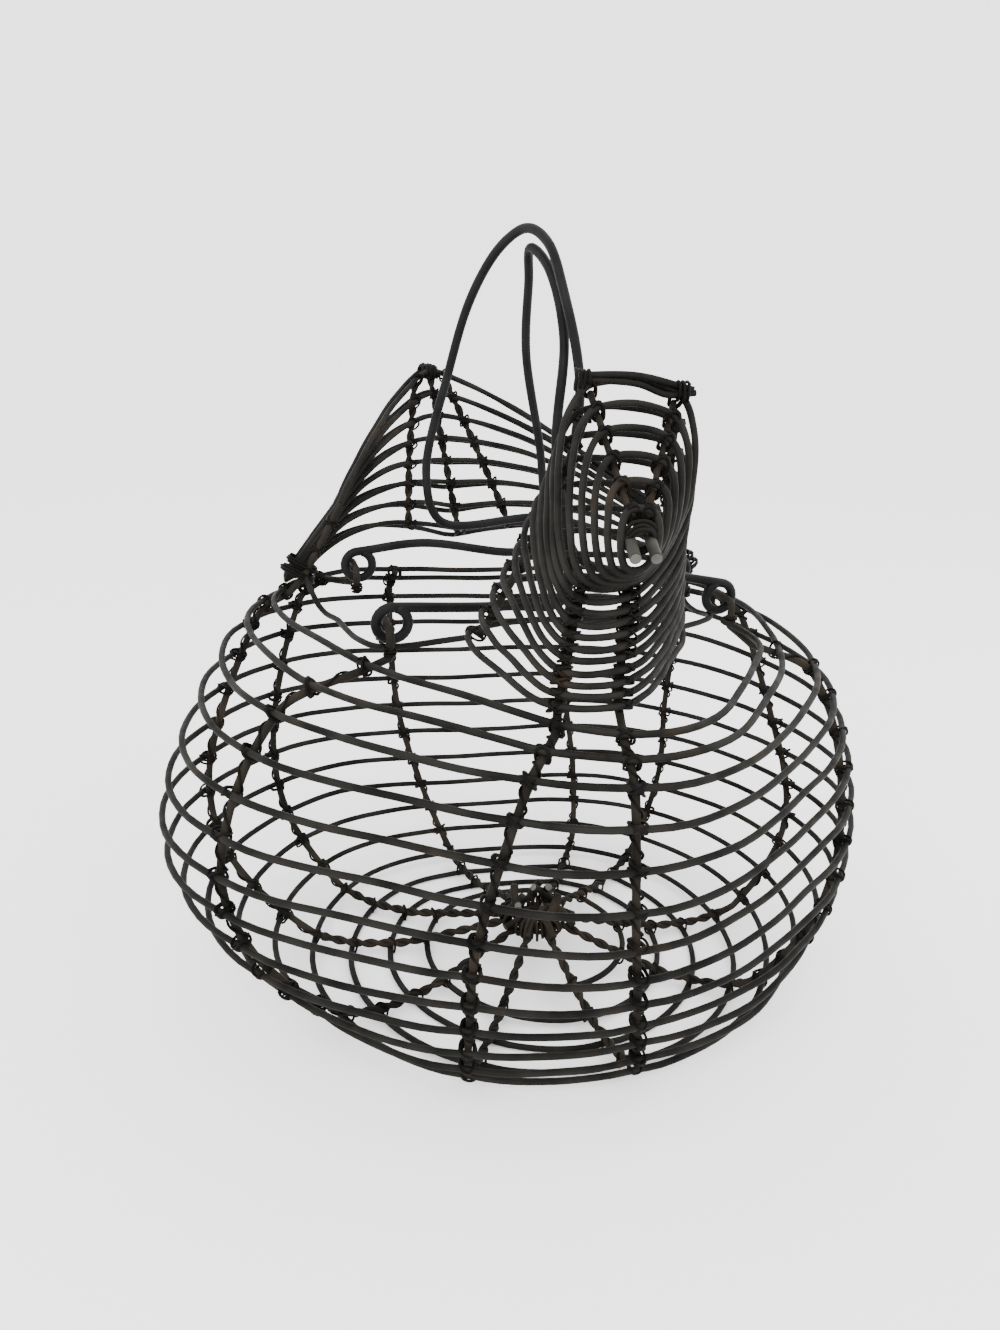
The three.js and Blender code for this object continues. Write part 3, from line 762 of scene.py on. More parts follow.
def build_winding():
    crossings = np.array(sorted(turn for rib in RIBS for turn in rib_crossings(rib)))
    turns = np.linspace(0, LAST_TURN, int(LAST_TURN * STEPS_PER_TURN))
    line = []
    for turn in turns:
        angle = FIRST_ANGLE + 360 * turn
        near = np.abs(crossings - turn).min()
        pull = DRAW_IN * math.exp(-((near / DRAW_LENGTH) ** 2))
        line.append(surface(turn, angle) + inward(turn, angle) * pull)
    line = np.array(line)
    wavy = wander(line, amount=0.32, length=60)
    wavy[:, 2] = np.where(line[:, 2] < FOOT_HEIGHT, line[:, 2], wavy[:, 2])
    whole = np.vstack([wavy[:-1], winding_end(wavy[-1])])
    wires = Wires()
    wires.add(whole, WINDING_WIRE, WINDING_SIDES, uneven=0.04)
    wires.piece("winding", WINDING_IRON, BASKET, WINDING_SLOT, WINDING_NODES)


# Hub: a coil of wire with the ribs' cut ends standing out of it, bound by short wraps
HUB_COIL_STEPS = 90
HUB_COIL_TURNS = 3.2
HUB_COIL_RADIUS = HUB_RADIUS - 0.9
HUB_COIL_WAVER = 1.3
HUB_COIL_WAVER_PITCH = 0.31
HUB_COIL_SWELL = 1.1
HUB_COIL_SWELL_PITCH = 0.47
HUB_COIL_RISE = 1.2
HUB_END_START = 7
HUB_END_CREST = 1
HUB_END_HEIGHTS = (3.4, 5.0, 6.6)
HUB_END_BOW = 0.8
HUB_END_TURN = 8
HUB_END_LEAN = 9
HUB_END_REACH = (-2, 11)
HUB_END_RISE = (5, 13)
CUT_DEPTH = 0.1
CUT_RISE = 0.12
HUB_WRAPS = 14
HUB_WRAP_TURN = 0.15
HUB_WRAP_HALF = 2.4
HUB_WRAP_OUT = 2.5
HUB_WRAP_UP = 1.2


def cut_face(cuts, tip, direction, diameter, sides):
    """The bright face where a wire was cut."""
    face = [tip - direction * CUT_DEPTH, tip + direction * CUT_RISE]
    cuts.add(face, diameter * CUT_FACE_SHARE, sides, uneven=0)


def hub_ends(centre, ends, cuts):
    """The ribs' ends, which come in low, climb over the coil and stand up at its middle."""
    for i, rib in enumerate(RIBS):
        out = outward_at(math.radians(rib[1] + chance.uniform(-HUB_END_TURN, HUB_END_TURN)))
        start = centre + out * (HUB_RADIUS + HUB_END_START) + raised(0.6)
        height = HUB_END_HEIGHTS[i % len(HUB_END_HEIGHTS)]
        over = centre + out * (HUB_RADIUS + HUB_END_CREST) + raised(height)
        lean = beside(out) * chance.uniform(-HUB_END_LEAN, HUB_END_LEAN)
        reach = out * chance.uniform(*HUB_END_REACH)
        tip = centre + reach + lean + raised(chance.uniform(*HUB_END_RISE))
        line = smooth([start, over, mix(over, tip, 0.5) + out * HUB_END_BOW, tip], steps=6)
        ends.add(line, HUB_END, STRAND_SIDES)
        cut_face(cuts, line[-1], unit(line[-1] - line[-2]), HUB_END, STRAND_SIDES)


def hub_wraps(centre, coils):
    for i in range(HUB_WRAPS):
        turn = chance.uniform(-HUB_WRAP_TURN, HUB_WRAP_TURN)
        out = outward_at(2 * math.pi * i / HUB_WRAPS + turn)
        outer = i % 2
        middle = centre + out * (HUB_RADIUS + HUB_WRAP_OUT * outer) + raised(HUB_WRAP_UP * outer)
        half = beside(out) * HUB_WRAP_HALF
        wrap = coil(middle - half, middle + half, radius=3.4, turns=2.4, sway=0.6)
        coils.add(wrap, HUB_WRAP_WIRE, THIN_SIDES, uneven=0.05)


def build_hub():
    centre = raised(HUB_HEIGHT + RIB_SEAT)
    t = np.linspace(0, 1, HUB_COIL_STEPS)[:, None]
    a = 2 * math.pi * HUB_COIL_TURNS * t
    radius = HUB_COIL_RADIUS + HUB_COIL_WAVER * np.sin(a * HUB_COIL_WAVER_PITCH)
    lift = HUB_COIL_SWELL * np.cos(a * HUB_COIL_SWELL_PITCH) + HUB_COIL_RISE * (t - 0.5)
    ring = centre + np.hstack([radius * np.cos(a), radius * np.sin(a), lift])
    coils = Wires()
    ends = Wires()
    cuts = Wires()
    coils.add(ring, STRAND_WIRE, STRAND_SIDES)
    hub_ends(centre, ends, cuts)
    hub_wraps(centre, coils)
    coils.piece("hub_coil", RIB_IRON, BASKET, RIB_SLOT, ("hub_ring",))
    ends.piece("hub_ends", RIB_IRON, BASKET, RIB_SLOT)
    cuts.piece("hub_cut_faces", CUT_IRON, BASKET, RIB_SLOT)


# Neck and head rings
RING_KEYS = tuple(NECK_BASE)
REAR_KEYS = ("rearLeft", "rearRight")
FRONT_KEYS = ("frontLeft", "frontRight")
neck_corners = []
for step in range(NECK_RINGS):
    share = step / (NECK_RINGS - 1)
    corners = {}
    for key in RING_KEYS:
        corners[key] = mix(above_rim(NECK_BASE[key]), above_rim(NECK_TOP[key]), share)
    for key in REAR_KEYS:
        draw = share * (1 + NECK_REAR_DRAW * (1 - share))
        corners[key][0] = NECK_BASE[key][0] + (NECK_TOP[key][0] - NECK_BASE[key][0]) * draw
    neck_corners.append(corners)
beak_tip = above_rim(BEAK_TIP)
head_corners = []
for step in range(HEAD_RINGS):
    share = HEAD_DRAW_IN * (step + 1) / HEAD_RINGS
    head_corners.append({key: mix(neck_corners[-1][key], beak_tip, share) for key in RING_KEYS})


def ring_line(corners):
    return smooth([corners[key] for key in RING_KEYS], steps=14, closed=True)


neck_lines = [ring_line(corners) for corners in neck_corners]
head_lines = [ring_line(corners) for corners in head_corners]
SEAT_STEP = 0.1


def nearest_points(line, place):
    """The point nearest to a place on each span of a closed line."""
    span = np.roll(line, -1, 0) - line
    t = np.clip(((place - line) * span).sum(1) / (span * span).sum(1), 0, 1)
    return line + span * t[:, None]


def distance_to(line, place):
    return np.linalg.norm(nearest_points(line, place) - place, axis=1).min()


def nearest_on(line, place):
    near = nearest_points(line, place)
    return near[np.linalg.norm(near - place, axis=1).argmin()]


def seat(lines, corner, direction, distance):
    """Moves a corner in one direction until it is clear of every line by the distance."""
    place = np.array(corner, float)
    step = unit(direction) * SEAT_STEP
    while any(distance_to(line, place) < distance for line in lines):
        place = place + step
    return place


def square_to(line, direction):
    along = unit(line)
    return direction - along * (direction @ along)


def inside_rings(lines, corners, key, distance):
    """A post that runs up inside one corner of every ring."""
    run = corners[-1][key] - corners[0][key]
    places = []
    for line, corner in zip(lines, corners):
        centre = np.mean([corner[k] for k in RING_KEYS], axis=0)
        places.append(seat(lines, corner[key], square_to(run, centre - corner[key]), distance))
    return np.array(places)


POST_SEAT = (RING_WIRE + RIB_WIRE) / 2 + POST_GAP
STAY_SEAT = RING_WIRE + POST_GAP


def tie_run(wires, lines, post, ring_radius, post_radius, loops=2):
    """Ties every ring to the post that runs inside it."""
    for i, line in enumerate(lines):
        place = post[i]
        along = post[min(i + 1, len(post) - 1)] - post[max(i - 1, 0)]
        tie_crossing(wires, nearest_on(line, place), place, along, ring_radius, post_radius, loops)


def ring_piece(name, line, step, amount, length):
    """A closed wire with its hand-made waver."""
    wavy = wander(evenly(line, step, True), amount, length, True)
    wire_piece(name, WINDING_IRON, WINDING_SLOT, wavy, RING_WIRE, RING_SIDES, True, RING_UNEVEN)


def build_neck():
    for i, line in enumerate(neck_lines):
        ring_piece(f"neck_ring_{i + 1}", line, step=1.6, amount=0.3, length=30)
    for i, line in enumerate(head_lines):
        ring_piece(f"head_ring_{i + 1}", line, step=1.4, amount=0.25, length=24)
    ties = Wires()
    for name, key in zip(("neck_post_left", "neck_post_right"), REAR_KEYS):
        post = inside_rings(neck_lines[:-1], neck_corners[:-1], key, POST_SEAT)
        wavy = wander(evenly(post, step=1.2), amount=0.2, length=20)
        wire_piece(name, RIB_IRON, RIB_SLOT, wavy, RIB_WIRE, STRAND_SIDES, uneven=0.12)
        tie_run(ties, neck_lines[:-1], post, RING_WIRE / 2, RIB_WIRE / 2)
    lines = [neck_lines[-1], *head_lines]
    corners = [neck_corners[-1], *head_corners]
    for name, key in zip(("head_stay_left", "head_stay_right"), REAR_KEYS):
        stay = inside_rings(lines, corners, key, STAY_SEAT)
        wavy = wander(evenly(stay, step=0.8), amount=0.15, length=12)
        wire_piece(name, RIB_IRON, RIB_SLOT, wavy, RING_WIRE, STRAND_SIDES, uneven=0.15)
        tie_run(ties, lines, stay, RING_WIRE / 2, RING_WIRE / 2, loops=3)
    for key in FRONT_KEYS:
        post = inside_rings(neck_lines, neck_corners, key, POST_SEAT)
        tie_run(ties, neck_lines, post, RING_WIRE / 2, RIB_WIRE / 2)
    ties.piece("neck_ties", TIE_IRON, BASKET, RIB_SLOT)


# Crown: the bar and two looser strands under it, each a drop below the bar and a push to the rear
CROWN_STRANDS = ((2.3, -0.8), (1.2, 2.0))
CROWN_STRAND_WIRE = RING_WIRE * 0.9
CROWN_STRAND_START = 0.6
CROWN_STRAND_BEND = 0.82
CROWN_TIP_REACH = 1.25
CROWN_TIP_LIFT = 0.7
CROWN_TIES = (0.06, 0.93)
CROWN_TIE_HALF = 2.2


def build_crown():
    left, right = (neck_corners[-1][key] for key in REAR_KEYS)
    axis = unit(right - left)
    reach = axis * CROWN_OVERHANG
    lift = raised(RING_WIRE + SEAT_GAP)
    middle = mix(left, right, 0.5) + raised(CROWN_RISE)
    line = smooth([left - reach + lift, middle + lift, right + reach + lift], steps=16)
    tip = right + reach * CROWN_TIP_REACH + lift * CROWN_TIP_LIFT
    wires = Wires()
    wires.add(line, RING_WIRE, RING_SIDES)
    for drop, push in CROWN_STRANDS:
        offset = np.array([0, push, -drop])
        start = left - reach * CROWN_STRAND_START + lift + offset / 2
        bend = mix(left, right, CROWN_STRAND_BEND) + lift + offset
        strand = smooth([start, middle + lift + offset, bend, tip], steps=12)
        wires.add(strand, CROWN_STRAND_WIRE, RING_SIDES, uneven=0.06)
    wires.piece("crown_wire", WINDING_IRON, BASKET, WINDING_SLOT, ("crown_bar",))
    ties = Wires()
    half = axis * CROWN_TIE_HALF
    for share in CROWN_TIES:
        low = line[int(share * (len(line) - 1))] - raised((RING_WIRE + SEAT_GAP) / 2)
        ties.add(coil(low - half, low + half, radius=2.9, turns=3.3), TIE_WIRE, THIN_SIDES, uneven=0.05)
    ties.piece("crown_ties", TIE_IRON, BASKET, WINDING_SLOT)


# Beak: its two blunt ends, and the wraps round their root as pushes forward and radii
BEAK_BEND = 1.5
BEAK_END_START = 2
BEAK_END_SHOULDER = 0.8
BEAK_WRAPS = ((1.5, 4.6), (3.0, 4.1), (4.4, 3.7))
BEAK_WRAP_STEPS = 28
BEAK_WRAP_HEIGHT = 0.95


def build_beak():
    last = head_lines[-1]
    root = last.mean(axis=0)
    forward = unit(beak_tip - neck_lines[-1].mean(axis=0))

    def side(sign):
        outer = root + np.array([sign * BEAK_REACH, 0, 0])
        place = seat([last], outer, np.array([-sign, 0, 0]), RING_WIRE + SEAT_GAP)
        return place + forward * BEAK_LENGTH, place - forward * BEAK_TAIL

    left_tip, left_root = side(-1)
    right_tip, right_root = side(1)
    wires = Wires()
    cuts = Wires()
    line = bent([left_tip, left_root, right_root, right_tip], BEAK_BEND)
    wires.add(line, RING_WIRE, WINDING_SIDES, uneven=0.02)
    for tip, start in ((left_tip, left_root), (right_tip, right_root)):
        end = [start + forward * BEAK_END_START, mix(start, tip, 0.6), tip - forward * BEAK_END_SHOULDER, tip]
        wires.add(end, BEAK_END, BEAK_SIDES, uneven=0.02)
        cut_face(cuts, tip, forward, BEAK_END, BEAK_SIDES)
    wires.piece("beak_wire_ends", BEAK_IRON, BASKET, WINDING_SLOT, ("beak_wire",))
    cuts.piece("beak_cut_faces", CUT_IRON, BASKET, WINDING_SLOT)
    wraps = Wires()
    middle = mix(left_root, right_root, 0.5)
    across = np.array([1.0, 0, 0])
    up = unit(np.cross(across, forward))
    t = np.linspace(0, 2 * math.pi, BEAK_WRAP_STEPS, endpoint=False)[:, None]
    for push, radius in BEAK_WRAPS:
        round_it = across * np.cos(t) * radius + up * np.sin(t) * radius * BEAK_WRAP_HEIGHT
        ring = wander(middle + forward * push + round_it, amount=0.25, length=8, closed=True)
        wraps.add(ring, WRAP_WIRE, WRAP_SIDES, True)
    wraps.piece("beak_wraps", TIE_IRON, BASKET, WINDING_SLOT)


# Tail: wraps at its peaks as half-lengths and turns, and at its feet as shares of the edge and radii
PEAK_WRAPS = ((2.6, 4.5), (4.4, 3.0))
PEAK_WRAP_DRAW = 3.5
PEAK_WRAP_DROP = (1.4, 1.9)
FOOT_WRAPS = ((-0.02, 6.6), (0.1, 6.0))
FOOT_WRAP_OUT = 2.0
FOOT_WRAP_AHEAD = 1.5
FOOT_WRAP_LENGTH = 3.0
EDGE_TIES = (0.38, 0.75)
EDGE_TIE_SLACK = 0.6
TAIL_TURN_DEGREES = (-60, -30, 0, 30, 60)
TAIL_TURN_DEPTH = TAIL_TURN_RADIUS * 0.7
TAIL_SIDE_STEPS = 25
BUNDLE_DEPTH_SHARE = 0.6
BUNDLE_STEP = 4
tail_foot_height = RIM_HEIGHT + WINDING_WIRE + SEAT_GAP


def tail_corner(t, side):
    half = TAIL_HALF_WIDTH + (TAIL_TOP_HALF_WIDTH - TAIL_HALF_WIDTH) * t
    depth = TAIL_CORNER_Y + (TAIL_TOP_CORNER_Y - TAIL_CORNER_Y) * t
    return np.array([side * half, depth, tail_foot_height + TAIL_STACK_HEIGHT * t])


def tail_ridge(t):
    return mix(above_rim(TAIL_RIDGE_FOOT), above_rim(TAIL_PEAK), t)


def tail_back(t):
    depth = TAIL_DEPTH_FOOT + (TAIL_DEPTH_PEAK - TAIL_DEPTH_FOOT) * t
    return tail_ridge(t) + np.array([0, depth, -depth * (1 - t) / 2])


def tail_side(corner, ridge, peak, share):
    """From a corner up along the tail's bowed edge and over to the ridge."""
    edge = peak - corner
    bow = unit(np.array([-edge[2], 0, edge[0]]))
    sweep = TAIL_SWEEP[0] + (TAIL_SWEEP[1] - TAIL_SWEEP[0]) * share
    along = mix(corner, peak, sweep) + bow * math.copysign(TAIL_BOW * share, bow[2])
    t = np.linspace(0, 1, TAIL_SIDE_STEPS)[:, None]
    return corner * (1 - t) ** 2 + along * 2 * t * (1 - t) + ridge * t * t


def tail_face(start, ridge, end, peak, share):
    """From one corner over the ridge to the other corner."""
    up = tail_side(start, ridge, peak, share)[:-2]
    down = tail_side(end, ridge, peak, share)[:-2][::-1]
    top = mix(ridge, mix(up[-1], down[0], 0.5), TAIL_RIDGE_ROUNDING)
    return [*up, top, *down]


def bundle_foot(t, side, depth):
    """Where a loop comes out of the bundle at the foot of its corner."""
    spread = side * BUNDLE_SPREAD * t * (TAIL_LOOPS - 1)
    return tail_corner(0, side) + np.array([spread, depth, 0])


def tail_bundle(t, side, depth):
    """The stretch of a loop that is bound in with the others, from the foot up to its corner."""
    if t == 0:
        return []
    foot = bundle_foot(t, side, depth * BUNDLE_DEPTH_SHARE)
    corner = tail_corner(t, side) + np.array([0, depth, 0])
    rise = np.linalg.norm(corner - foot)
    return [foot + (corner - foot) * share for share in np.arange(0, 1, BUNDLE_STEP / rise)]


def tail_turn(t, side):
    """The turn of a loop round the foot of its corner, from the front to the rear."""
    foot = bundle_foot(t, side, 0)
    across = side * TAIL_TURN_RADIUS * (1 - t)
    drop = -BUNDLE_DROP * t
    points = []
    for degrees in TAIL_TURN_DEGREES:
        a = math.radians(degrees)
        points.append(foot + np.array([
            across * math.cos(a),
            TAIL_TURN_DEPTH * math.sin(a),
            drop * math.cos(a),
        ]))
    return points


def tail_line(t):
    left, right = tail_corner(t, -1), tail_corner(t, 1)
    depth = TAIL_TURN_RADIUS
    forward = np.array([0, -depth, 0])
    front = tail_face(left + forward, tail_ridge(t), right + forward, tail_ridge(1), t)
    rear = tail_face(right - forward, tail_back(t), left - forward, tail_back(1), t)
    places = [
        *tail_bundle(t, -1, -depth),
        *front,
        *tail_bundle(t, 1, -depth)[::-1],
        *tail_turn(t, 1),
        *tail_bundle(t, 1, depth),
        *rear,
        *tail_bundle(t, -1, depth)[::-1],
        *tail_turn(t, -1)[::-1],
    ]
    return smooth(places, steps=2, closed=True)


tail_shares = [i / (TAIL_LOOPS - 1) for i in range(TAIL_LOOPS)]
tail_lines = [tail_line(t) for t in tail_shares]


def tail_rib_line(side):
    """An upright rib close behind the loops' front spans, beside the ridge or at it."""
    starts = []
    for t, line in zip(tail_shares, tail_lines):
        offset = side * (TAIL_SIDE_RIB_FOOT + (TAIL_SIDE_RIB_PEAK - TAIL_SIDE_RIB_FOOT) * t)
        end = tail_corner(t, -1 if offset < 0 else 1)
        ridge = tail_ridge(t)
        starts.append(nearest_on(line, mix(ridge, end, abs(offset / (end[0] - ridge[0])))))
    back = square_to(starts[-1] - starts[0], -FRONT)
    return np.array([seat(tail_lines, start, back, POST_SEAT) for start in starts])


def tail_wraps(ties):
    """The wraps at the peaks and the feet, and the ties along the edges."""
    for peak in (tail_ridge(1), tail_back(1) + FRONT * PEAK_WRAP_DRAW):
        for reach, turns in PEAK_WRAPS:
            left = peak + np.array([-reach, 0, -PEAK_WRAP_DROP[0]])
            right = peak + np.array([reach, 0, -PEAK_WRAP_DROP[1]])
            wrap = coil(left, right, radius=2.5, turns=turns, sway=0.3)
            ties.add(wrap, WRAP_WIRE, WRAP_SIDES, uneven=0.05)
    for side in (-1, 1):
        foot = tail_corner(0, side)
        top = tail_corner(1, side)
        up = unit(top - foot)
        outward = np.array([side * FOOT_WRAP_OUT, -FOOT_WRAP_AHEAD, 0])
        for share, radius in FOOT_WRAPS:
            place = mix(foot, top, share) + outward
            wrap = coil(place, place + up * FOOT_WRAP_LENGTH, radius, turns=3.2, sway=0.5)
            ties.add(wrap, FOOT_WRAP_WIRE, THIN_SIDES, uneven=0.05)
        for share in EDGE_TIES:
            edge = mix(foot, top, share) + FRONT * TAIL_TURN_RADIUS
            inner = edge + FRONT * (POST_SEAT - EDGE_TIE_SLACK)
            tie_crossing(ties, edge, inner, top - foot, RING_WIRE / 2, RIB_WIRE / 2, loops=3)


def twin_strands(wires, line, sides):
    """Two strands that wind round each other along the line."""
    for phase in (0, math.pi):
        strand = twisted(line, TWIST_PITCH, STRAND_OFFSET, phase)
        wires.add(strand, STRAND_WIRE, sides, uneven=0.05)


def build_tail():
    ties = Wires()
    for i, line in enumerate(tail_lines):
        ring_piece(f"tail_loop_{i + 1}", line, step=2.2, amount=0.35, length=45)
    for name, side in (("tail_rib_left", -1), ("tail_rib_middle", 0), ("tail_rib_right", 1)):
        post = tail_rib_line(side)
        wires = Wires()
        twin_strands(wires, evenly(post, step=1.4), WRAP_SIDES)
        wires.piece(f"{name}_wire", RIB_IRON, BASKET, RIB_SLOT, (name,))
        tie_run(ties, tail_lines, post, RING_WIRE / 2, RIB_WIRE / 2)
    tail_wraps(ties)
    ties.piece("tail_ties", TIE_IRON, BASKET, RIB_SLOT)


# Ribs
HOOK_BEND = 3


def hook_line(x, y):
    """A rib's end, bent up, along the hinge line and down again."""
    low = HINGE_HEIGHT - HOOK_DROP
    near, far = y - HOOK_HALF_LENGTH, y + HOOK_HALF_LENGTH
    corners = [(x, near, low), (x, near, HINGE_HEIGHT), (x, far, HINGE_HEIGHT), (x, far, low)]
    return bent([np.array(c, float) for c in corners], HOOK_BEND)


def tail_edge(side):
    """A rib's end that runs up in front of the corners of the tail's loops."""
    places = []
    for t, line in zip(tail_shares, tail_lines):
        places.append(seat([line], tail_corner(t, side), FRONT, POST_SEAT))
    return np.array(places)


RIB_ENDS = {
    "rib_front_left": inside_rings(neck_lines, neck_corners, FRONT_KEYS[0], POST_SEAT),
    "rib_front_right": inside_rings(neck_lines, neck_corners, FRONT_KEYS[1], POST_SEAT),
    "rib_right_front": hook_line(RIGHT_HINGE_X, RIGHT_HINGE_Y[0]),
    "rib_right": hook_line(RIGHT_HINGE_X, RIGHT_HINGE_Y[1])[::-1],
    "rib_right_rear": tail_edge(1),
    "rib_left_rear": hook_line(LEFT_HINGE_X, LEFT_HINGE_Y[1])[::-1],
    "rib_left": tail_edge(-1),
    "rib_left_front": hook_line(LEFT_HINGE_X, LEFT_HINGE_Y[0]),
}
RIB_TOP_TURN = RIM_TURN - 0.15
SPOKE_TURN = 3.6
SPOKE_OVERLAP = 0.25
SPOKE_STEPS = 60
SIDE_STEPS = 140
CLIMB_START = SIDE_TURN - 0.5
CLIMB_STEPS = 15
CLIMB_REACH = DRAWN_RIB_WIRE / 2 + TIE_WIRE * 0.45


def rib_line(rib, first, last, count):
    places = []
    for turn in np.linspace(first, last, count):
        angle = rib_angle(rib, turn)
        places.append(surface(turn, angle) + inward(turn, angle) * RIB_SEAT)
    return np.array(places)


def climbing_tie(rib, first, second):
    """The tie wire's turn round a rib on its way from one crossing to the next."""
    climb = []
    for t in np.linspace(0, 1, CLIMB_STEPS):
        turn = first + (second - first) * t
        angle = rib_angle(rib, turn)
        into = inward(turn, angle)
        across = np.cross(into, unit(upward(turn, angle)))
        a = 2 * math.pi * t
        centre = surface(turn, angle) + into * RIB_SEAT
        climb.append(centre + CLIMB_REACH * (math.cos(a) * into + math.sin(a) * across))
    return climb


def rib_ties(rib):
    ties = Wires()
    crossings = rib_crossings(rib)
    for turn in crossings:
        angle = rib_angle(rib, turn)
        place = surface(turn, angle)
        into = inward(turn, angle)
        outer = place + into * DRAW_IN
        inner = place + into * RIB_SEAT
        loops = 3 if turn > SIDE_TURN else 1
        tie_crossing(ties, outer, inner, upward(turn, angle), WINDING_WIRE / 2, RIB_WIRE / 2, loops)
    for first, second in zip(crossings, crossings[1:]):
        if first >= CLIMB_START:
            ties.add(climbing_tie(rib, first, second), TIE_WIRE, THIN_SIDES, uneven=0.08)
    return ties


def build_rib(rib):
    name = rib[0]
    spoke = rib_line(rib, HUB_TURN, SPOKE_TURN, SPOKE_STEPS)
    side = rib_line(rib, SPOKE_TURN - SPOKE_OVERLAP, RIB_TOP_TURN, SIDE_STEPS)
    ends = RIB_ENDS.get(name)
    if ends is not None:
        side = np.vstack([side, ends])
    wires = Wires()
    twin_strands(wires, evenly(spoke, step=1.1), STRAND_SIDES)
    wires.add(evenly(side, step=1.2), DRAWN_RIB_WIRE, WINDING_SIDES, uneven=0.10)
    wires.piece(f"{name}_wire", RIB_IRON, BASKET, RIB_SLOT, (name,))
    rib_ties(rib).piece(f"{name}_ties", TIE_IRON, BASKET, RIB_SLOT)


# Rim wires, placed beside the tail by insets and steps ahead of its corner, and the hooks' wraps
RIM_WIRE_HEIGHT = HINGE_HEIGHT - HOOK_DROP - RING_WIRE / 2 - SEAT_GAP
RIM_BESIDE_TAIL = ((9, 36), (5, 18))
RIM_END_GAP = 2
RIM_END_RISE = 1.5
HOOK_WRAP = (0.6, 3.4)


def build_rim(side, name, hinge_x, hook_y):
    start = above_rim(NECK_BASE[REAR_KEYS[side > 0]])
    points = [
        start - raised(RING_WIRE + SEAT_GAP),
        np.array([hinge_x, hook_y + HOOK_HALF_LENGTH, RIM_WIRE_HEIGHT]),
    ]
    for inset, ahead in RIM_BESIDE_TAIL:
        x = side * (TAIL_HALF_WIDTH - inset)
        points.append(np.array([x, TAIL_CORNER_Y - ahead, RIM_WIRE_HEIGHT - RIM_SAG]))
    corner = tail_corner(0, side)
    points.append(corner + FRONT * (TAIL_TURN_RADIUS + RIM_END_GAP) + raised(RIM_END_RISE))
    line = wander(evenly(smooth(points, steps=24), step=1.6), amount=0.25, length=30)
    wire_piece(name, WINDING_IRON, WINDING_SLOT, line, RING_WIRE, RING_SIDES)


def build_hook_wraps():
    wraps = Wires()
    hooks = [(LEFT_HINGE_X, y) for y in LEFT_HINGE_Y] + [(RIGHT_HINGE_X, y) for y in RIGHT_HINGE_Y]
    for x, y in hooks:
        for side in (-1, 1):
            foot = np.array([x, y + side * HOOK_HALF_LENGTH, HINGE_HEIGHT - HOOK_DROP])
            low, high = (foot + raised(height) for height in HOOK_WRAP)
            wraps.add(coil(low, high, radius=1.9, turns=2.6), TIE_WIRE, THIN_SIDES, uneven=0.06)
    wraps.piece("hook_wraps", TIE_IRON, BASKET, RIB_SLOT)


# Bails
EYE_STEPS = 30


def eye_line(hinge_x, y, side):
    """The eye that hangs on a hook, from its open end up to where the bail starts."""
    radius = (EYE_BORE + BAIL_WIRE) / 2
    offset = EYE_BORE / 2 - RIB_WIRE / 2 - SEAT_GAP
    centre = np.array([hinge_x + side * offset, y, HINGE_HEIGHT])
    points = []
    for t in np.linspace(0, 1, EYE_STEPS):
        a = math.radians(90 + (360 - EYE_START) * (1 - t))
        points.append(centre + np.array([side * radius * math.cos(a), 0, radius * math.sin(a)]))
    return np.array(points)


def build_bail(name, hinge_x, hinge_y, side, bends):
    first = eye_line(hinge_x, hinge_y[0], side)
    second = eye_line(hinge_x, hinge_y[1], side)[::-1]
    corners = [first[-1], *[above_rim(p) for p in bends], second[0]]
    middle = smooth(corners, steps=14)
    line = evenly(np.vstack([first[:-1], middle, second[1:]]), step=1.5)
    wires = Wires()
    wires.add(line, BAIL_WIRE, BAIL_SIDES, uneven=0.015)
    wires.piece(f"{name}_wire", BAIL_IRON, name, BAIL_SLOT, (name,))


build_winding()
build_hub()
build_neck()
build_crown()
build_beak()
build_tail()
for each_rib in RIBS:
    build_rib(each_rib)
build_rim(-1, "rim_wire_left", LEFT_HINGE_X, LEFT_HINGE_Y[0])
build_rim(1, "rim_wire_right", RIGHT_HINGE_X, RIGHT_HINGE_Y[0])
build_hook_wraps()
build_bail("left_bail", LEFT_HINGE_X, LEFT_HINGE_Y, 1, LEFT_BAIL)
build_bail("right_bail", RIGHT_HINGE_X, RIGHT_HINGE_Y, -1, RIGHT_BAIL)


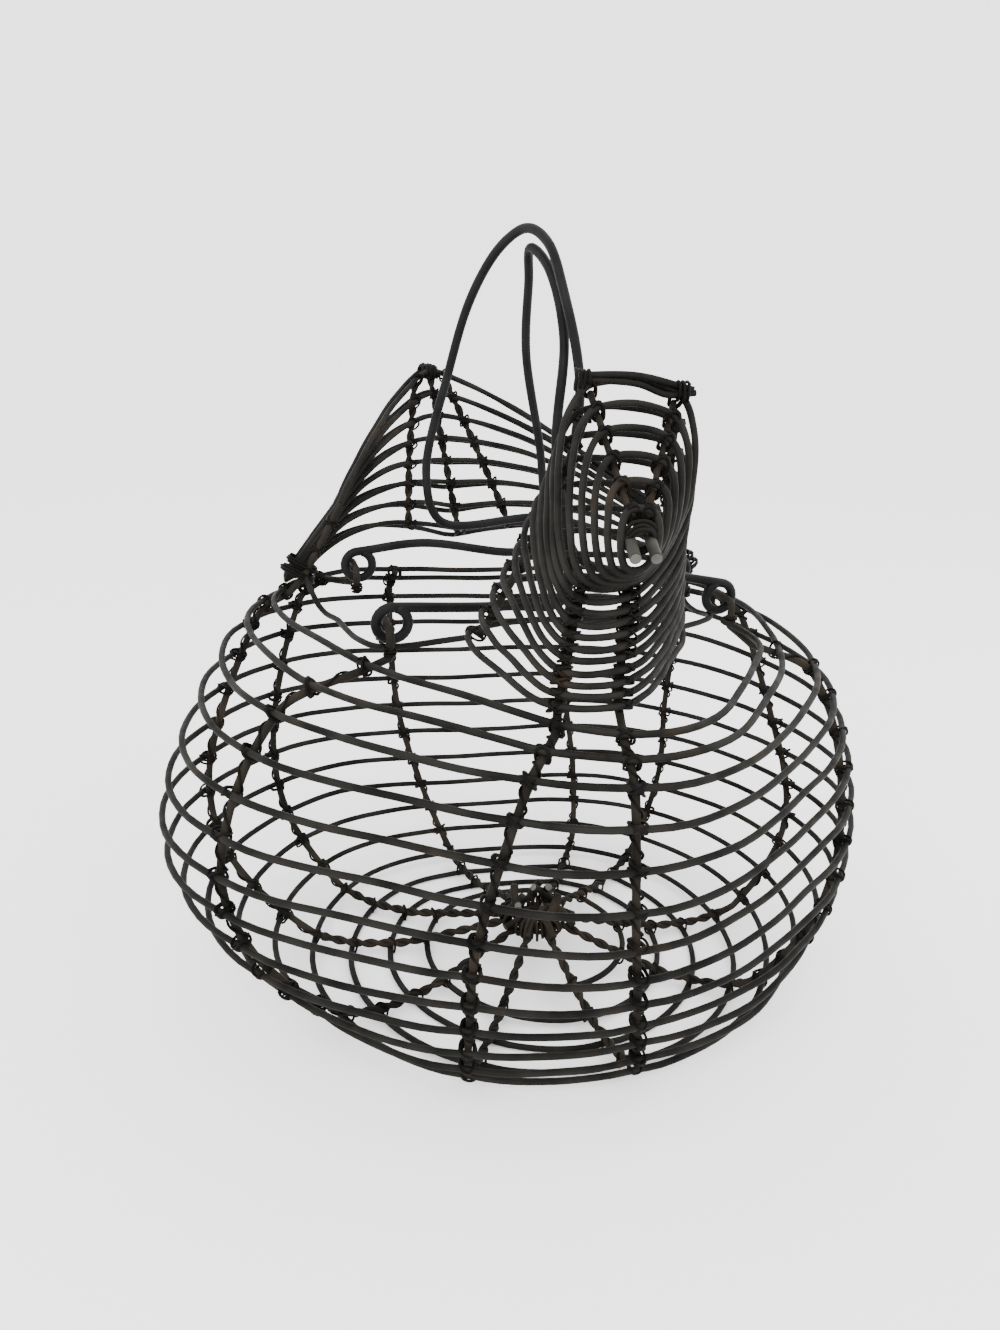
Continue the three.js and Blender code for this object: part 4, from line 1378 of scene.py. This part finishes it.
# Studio: a pale floor, white surroundings and two soft lamps, each with place, size and power
WORLD_STRENGTH = 2.8
FLOOR_TONES = (0.93, 0.96)
FLOOR_HALF = 4.0
FLOOR_DROP = 0.0003
FLOOR_CLOUDS = 3
LAMPS = (
    ("key", (-0.55, -0.75, 1.0), 0.7, 10.0),
    ("fill", (0.8, -0.2, 0.9), 0.8, 4.0),
)
LAMP_AIM = Vector((0, 0, 0.12))


def floor_material():
    """Matt white that is as bright as the surroundings, so that no horizon shows."""
    material = bpy.data.materials.new("floor_white")
    material.use_nodes = True
    tree = material.node_tree
    shader = tree.nodes["Principled BSDF"]
    noise = tree.nodes.new("ShaderNodeTexNoise")
    noise.inputs["Scale"].default_value = FLOOR_CLOUDS
    ramp = tree.nodes.new("ShaderNodeValToRGB")
    for element, tone in zip(ramp.color_ramp.elements, FLOOR_TONES):
        element.color = (tone, tone, tone, 1)
    tree.links.new(noise.outputs["Fac"], ramp.inputs["Fac"])
    tree.links.new(ramp.outputs["Color"], shader.inputs["Base Color"])
    shader.inputs["Roughness"].default_value = 1.0
    shader.inputs["Specular IOR Level"].default_value = 0.0
    shader.inputs["Emission Color"].default_value = (*WHITE, 1)
    shader.inputs["Emission Strength"].default_value = WORLD_STRENGTH * (1 - sum(FLOOR_TONES) / 2)
    return material


def build_floor():
    mesh = bpy.data.meshes.new("floor")
    corners = [(-1, -1), (1, -1), (1, 1), (-1, 1)]
    places = [(x * FLOOR_HALF, y * FLOOR_HALF, 0) for x, y in corners]
    mesh.from_pydata(places, [], [(0, 1, 2, 3)])
    mesh.materials.append(floor_material())
    floor = bpy.data.objects.new("floor", mesh)
    floor.location.z = -FLOOR_DROP
    bpy.context.scene.collection.objects.link(floor)


def build_light():
    world = bpy.data.worlds.new("studio")
    world.use_nodes = True
    background = world.node_tree.nodes["Background"]
    background.inputs["Color"].default_value = (*WHITE, 1)
    background.inputs["Strength"].default_value = WORLD_STRENGTH
    bpy.context.scene.world = world
    for name, place, size, power in LAMPS:
        data = bpy.data.lights.new(name, "AREA")
        data.size = size
        data.energy = power
        lamp = bpy.data.objects.new(name, data)
        lamp.location = place
        aim = LAMP_AIM - Vector(place)
        lamp.rotation_euler = aim.to_track_quat("-Z", "Y").to_euler()
        bpy.context.scene.collection.objects.link(lamp)


build_floor()
build_light()
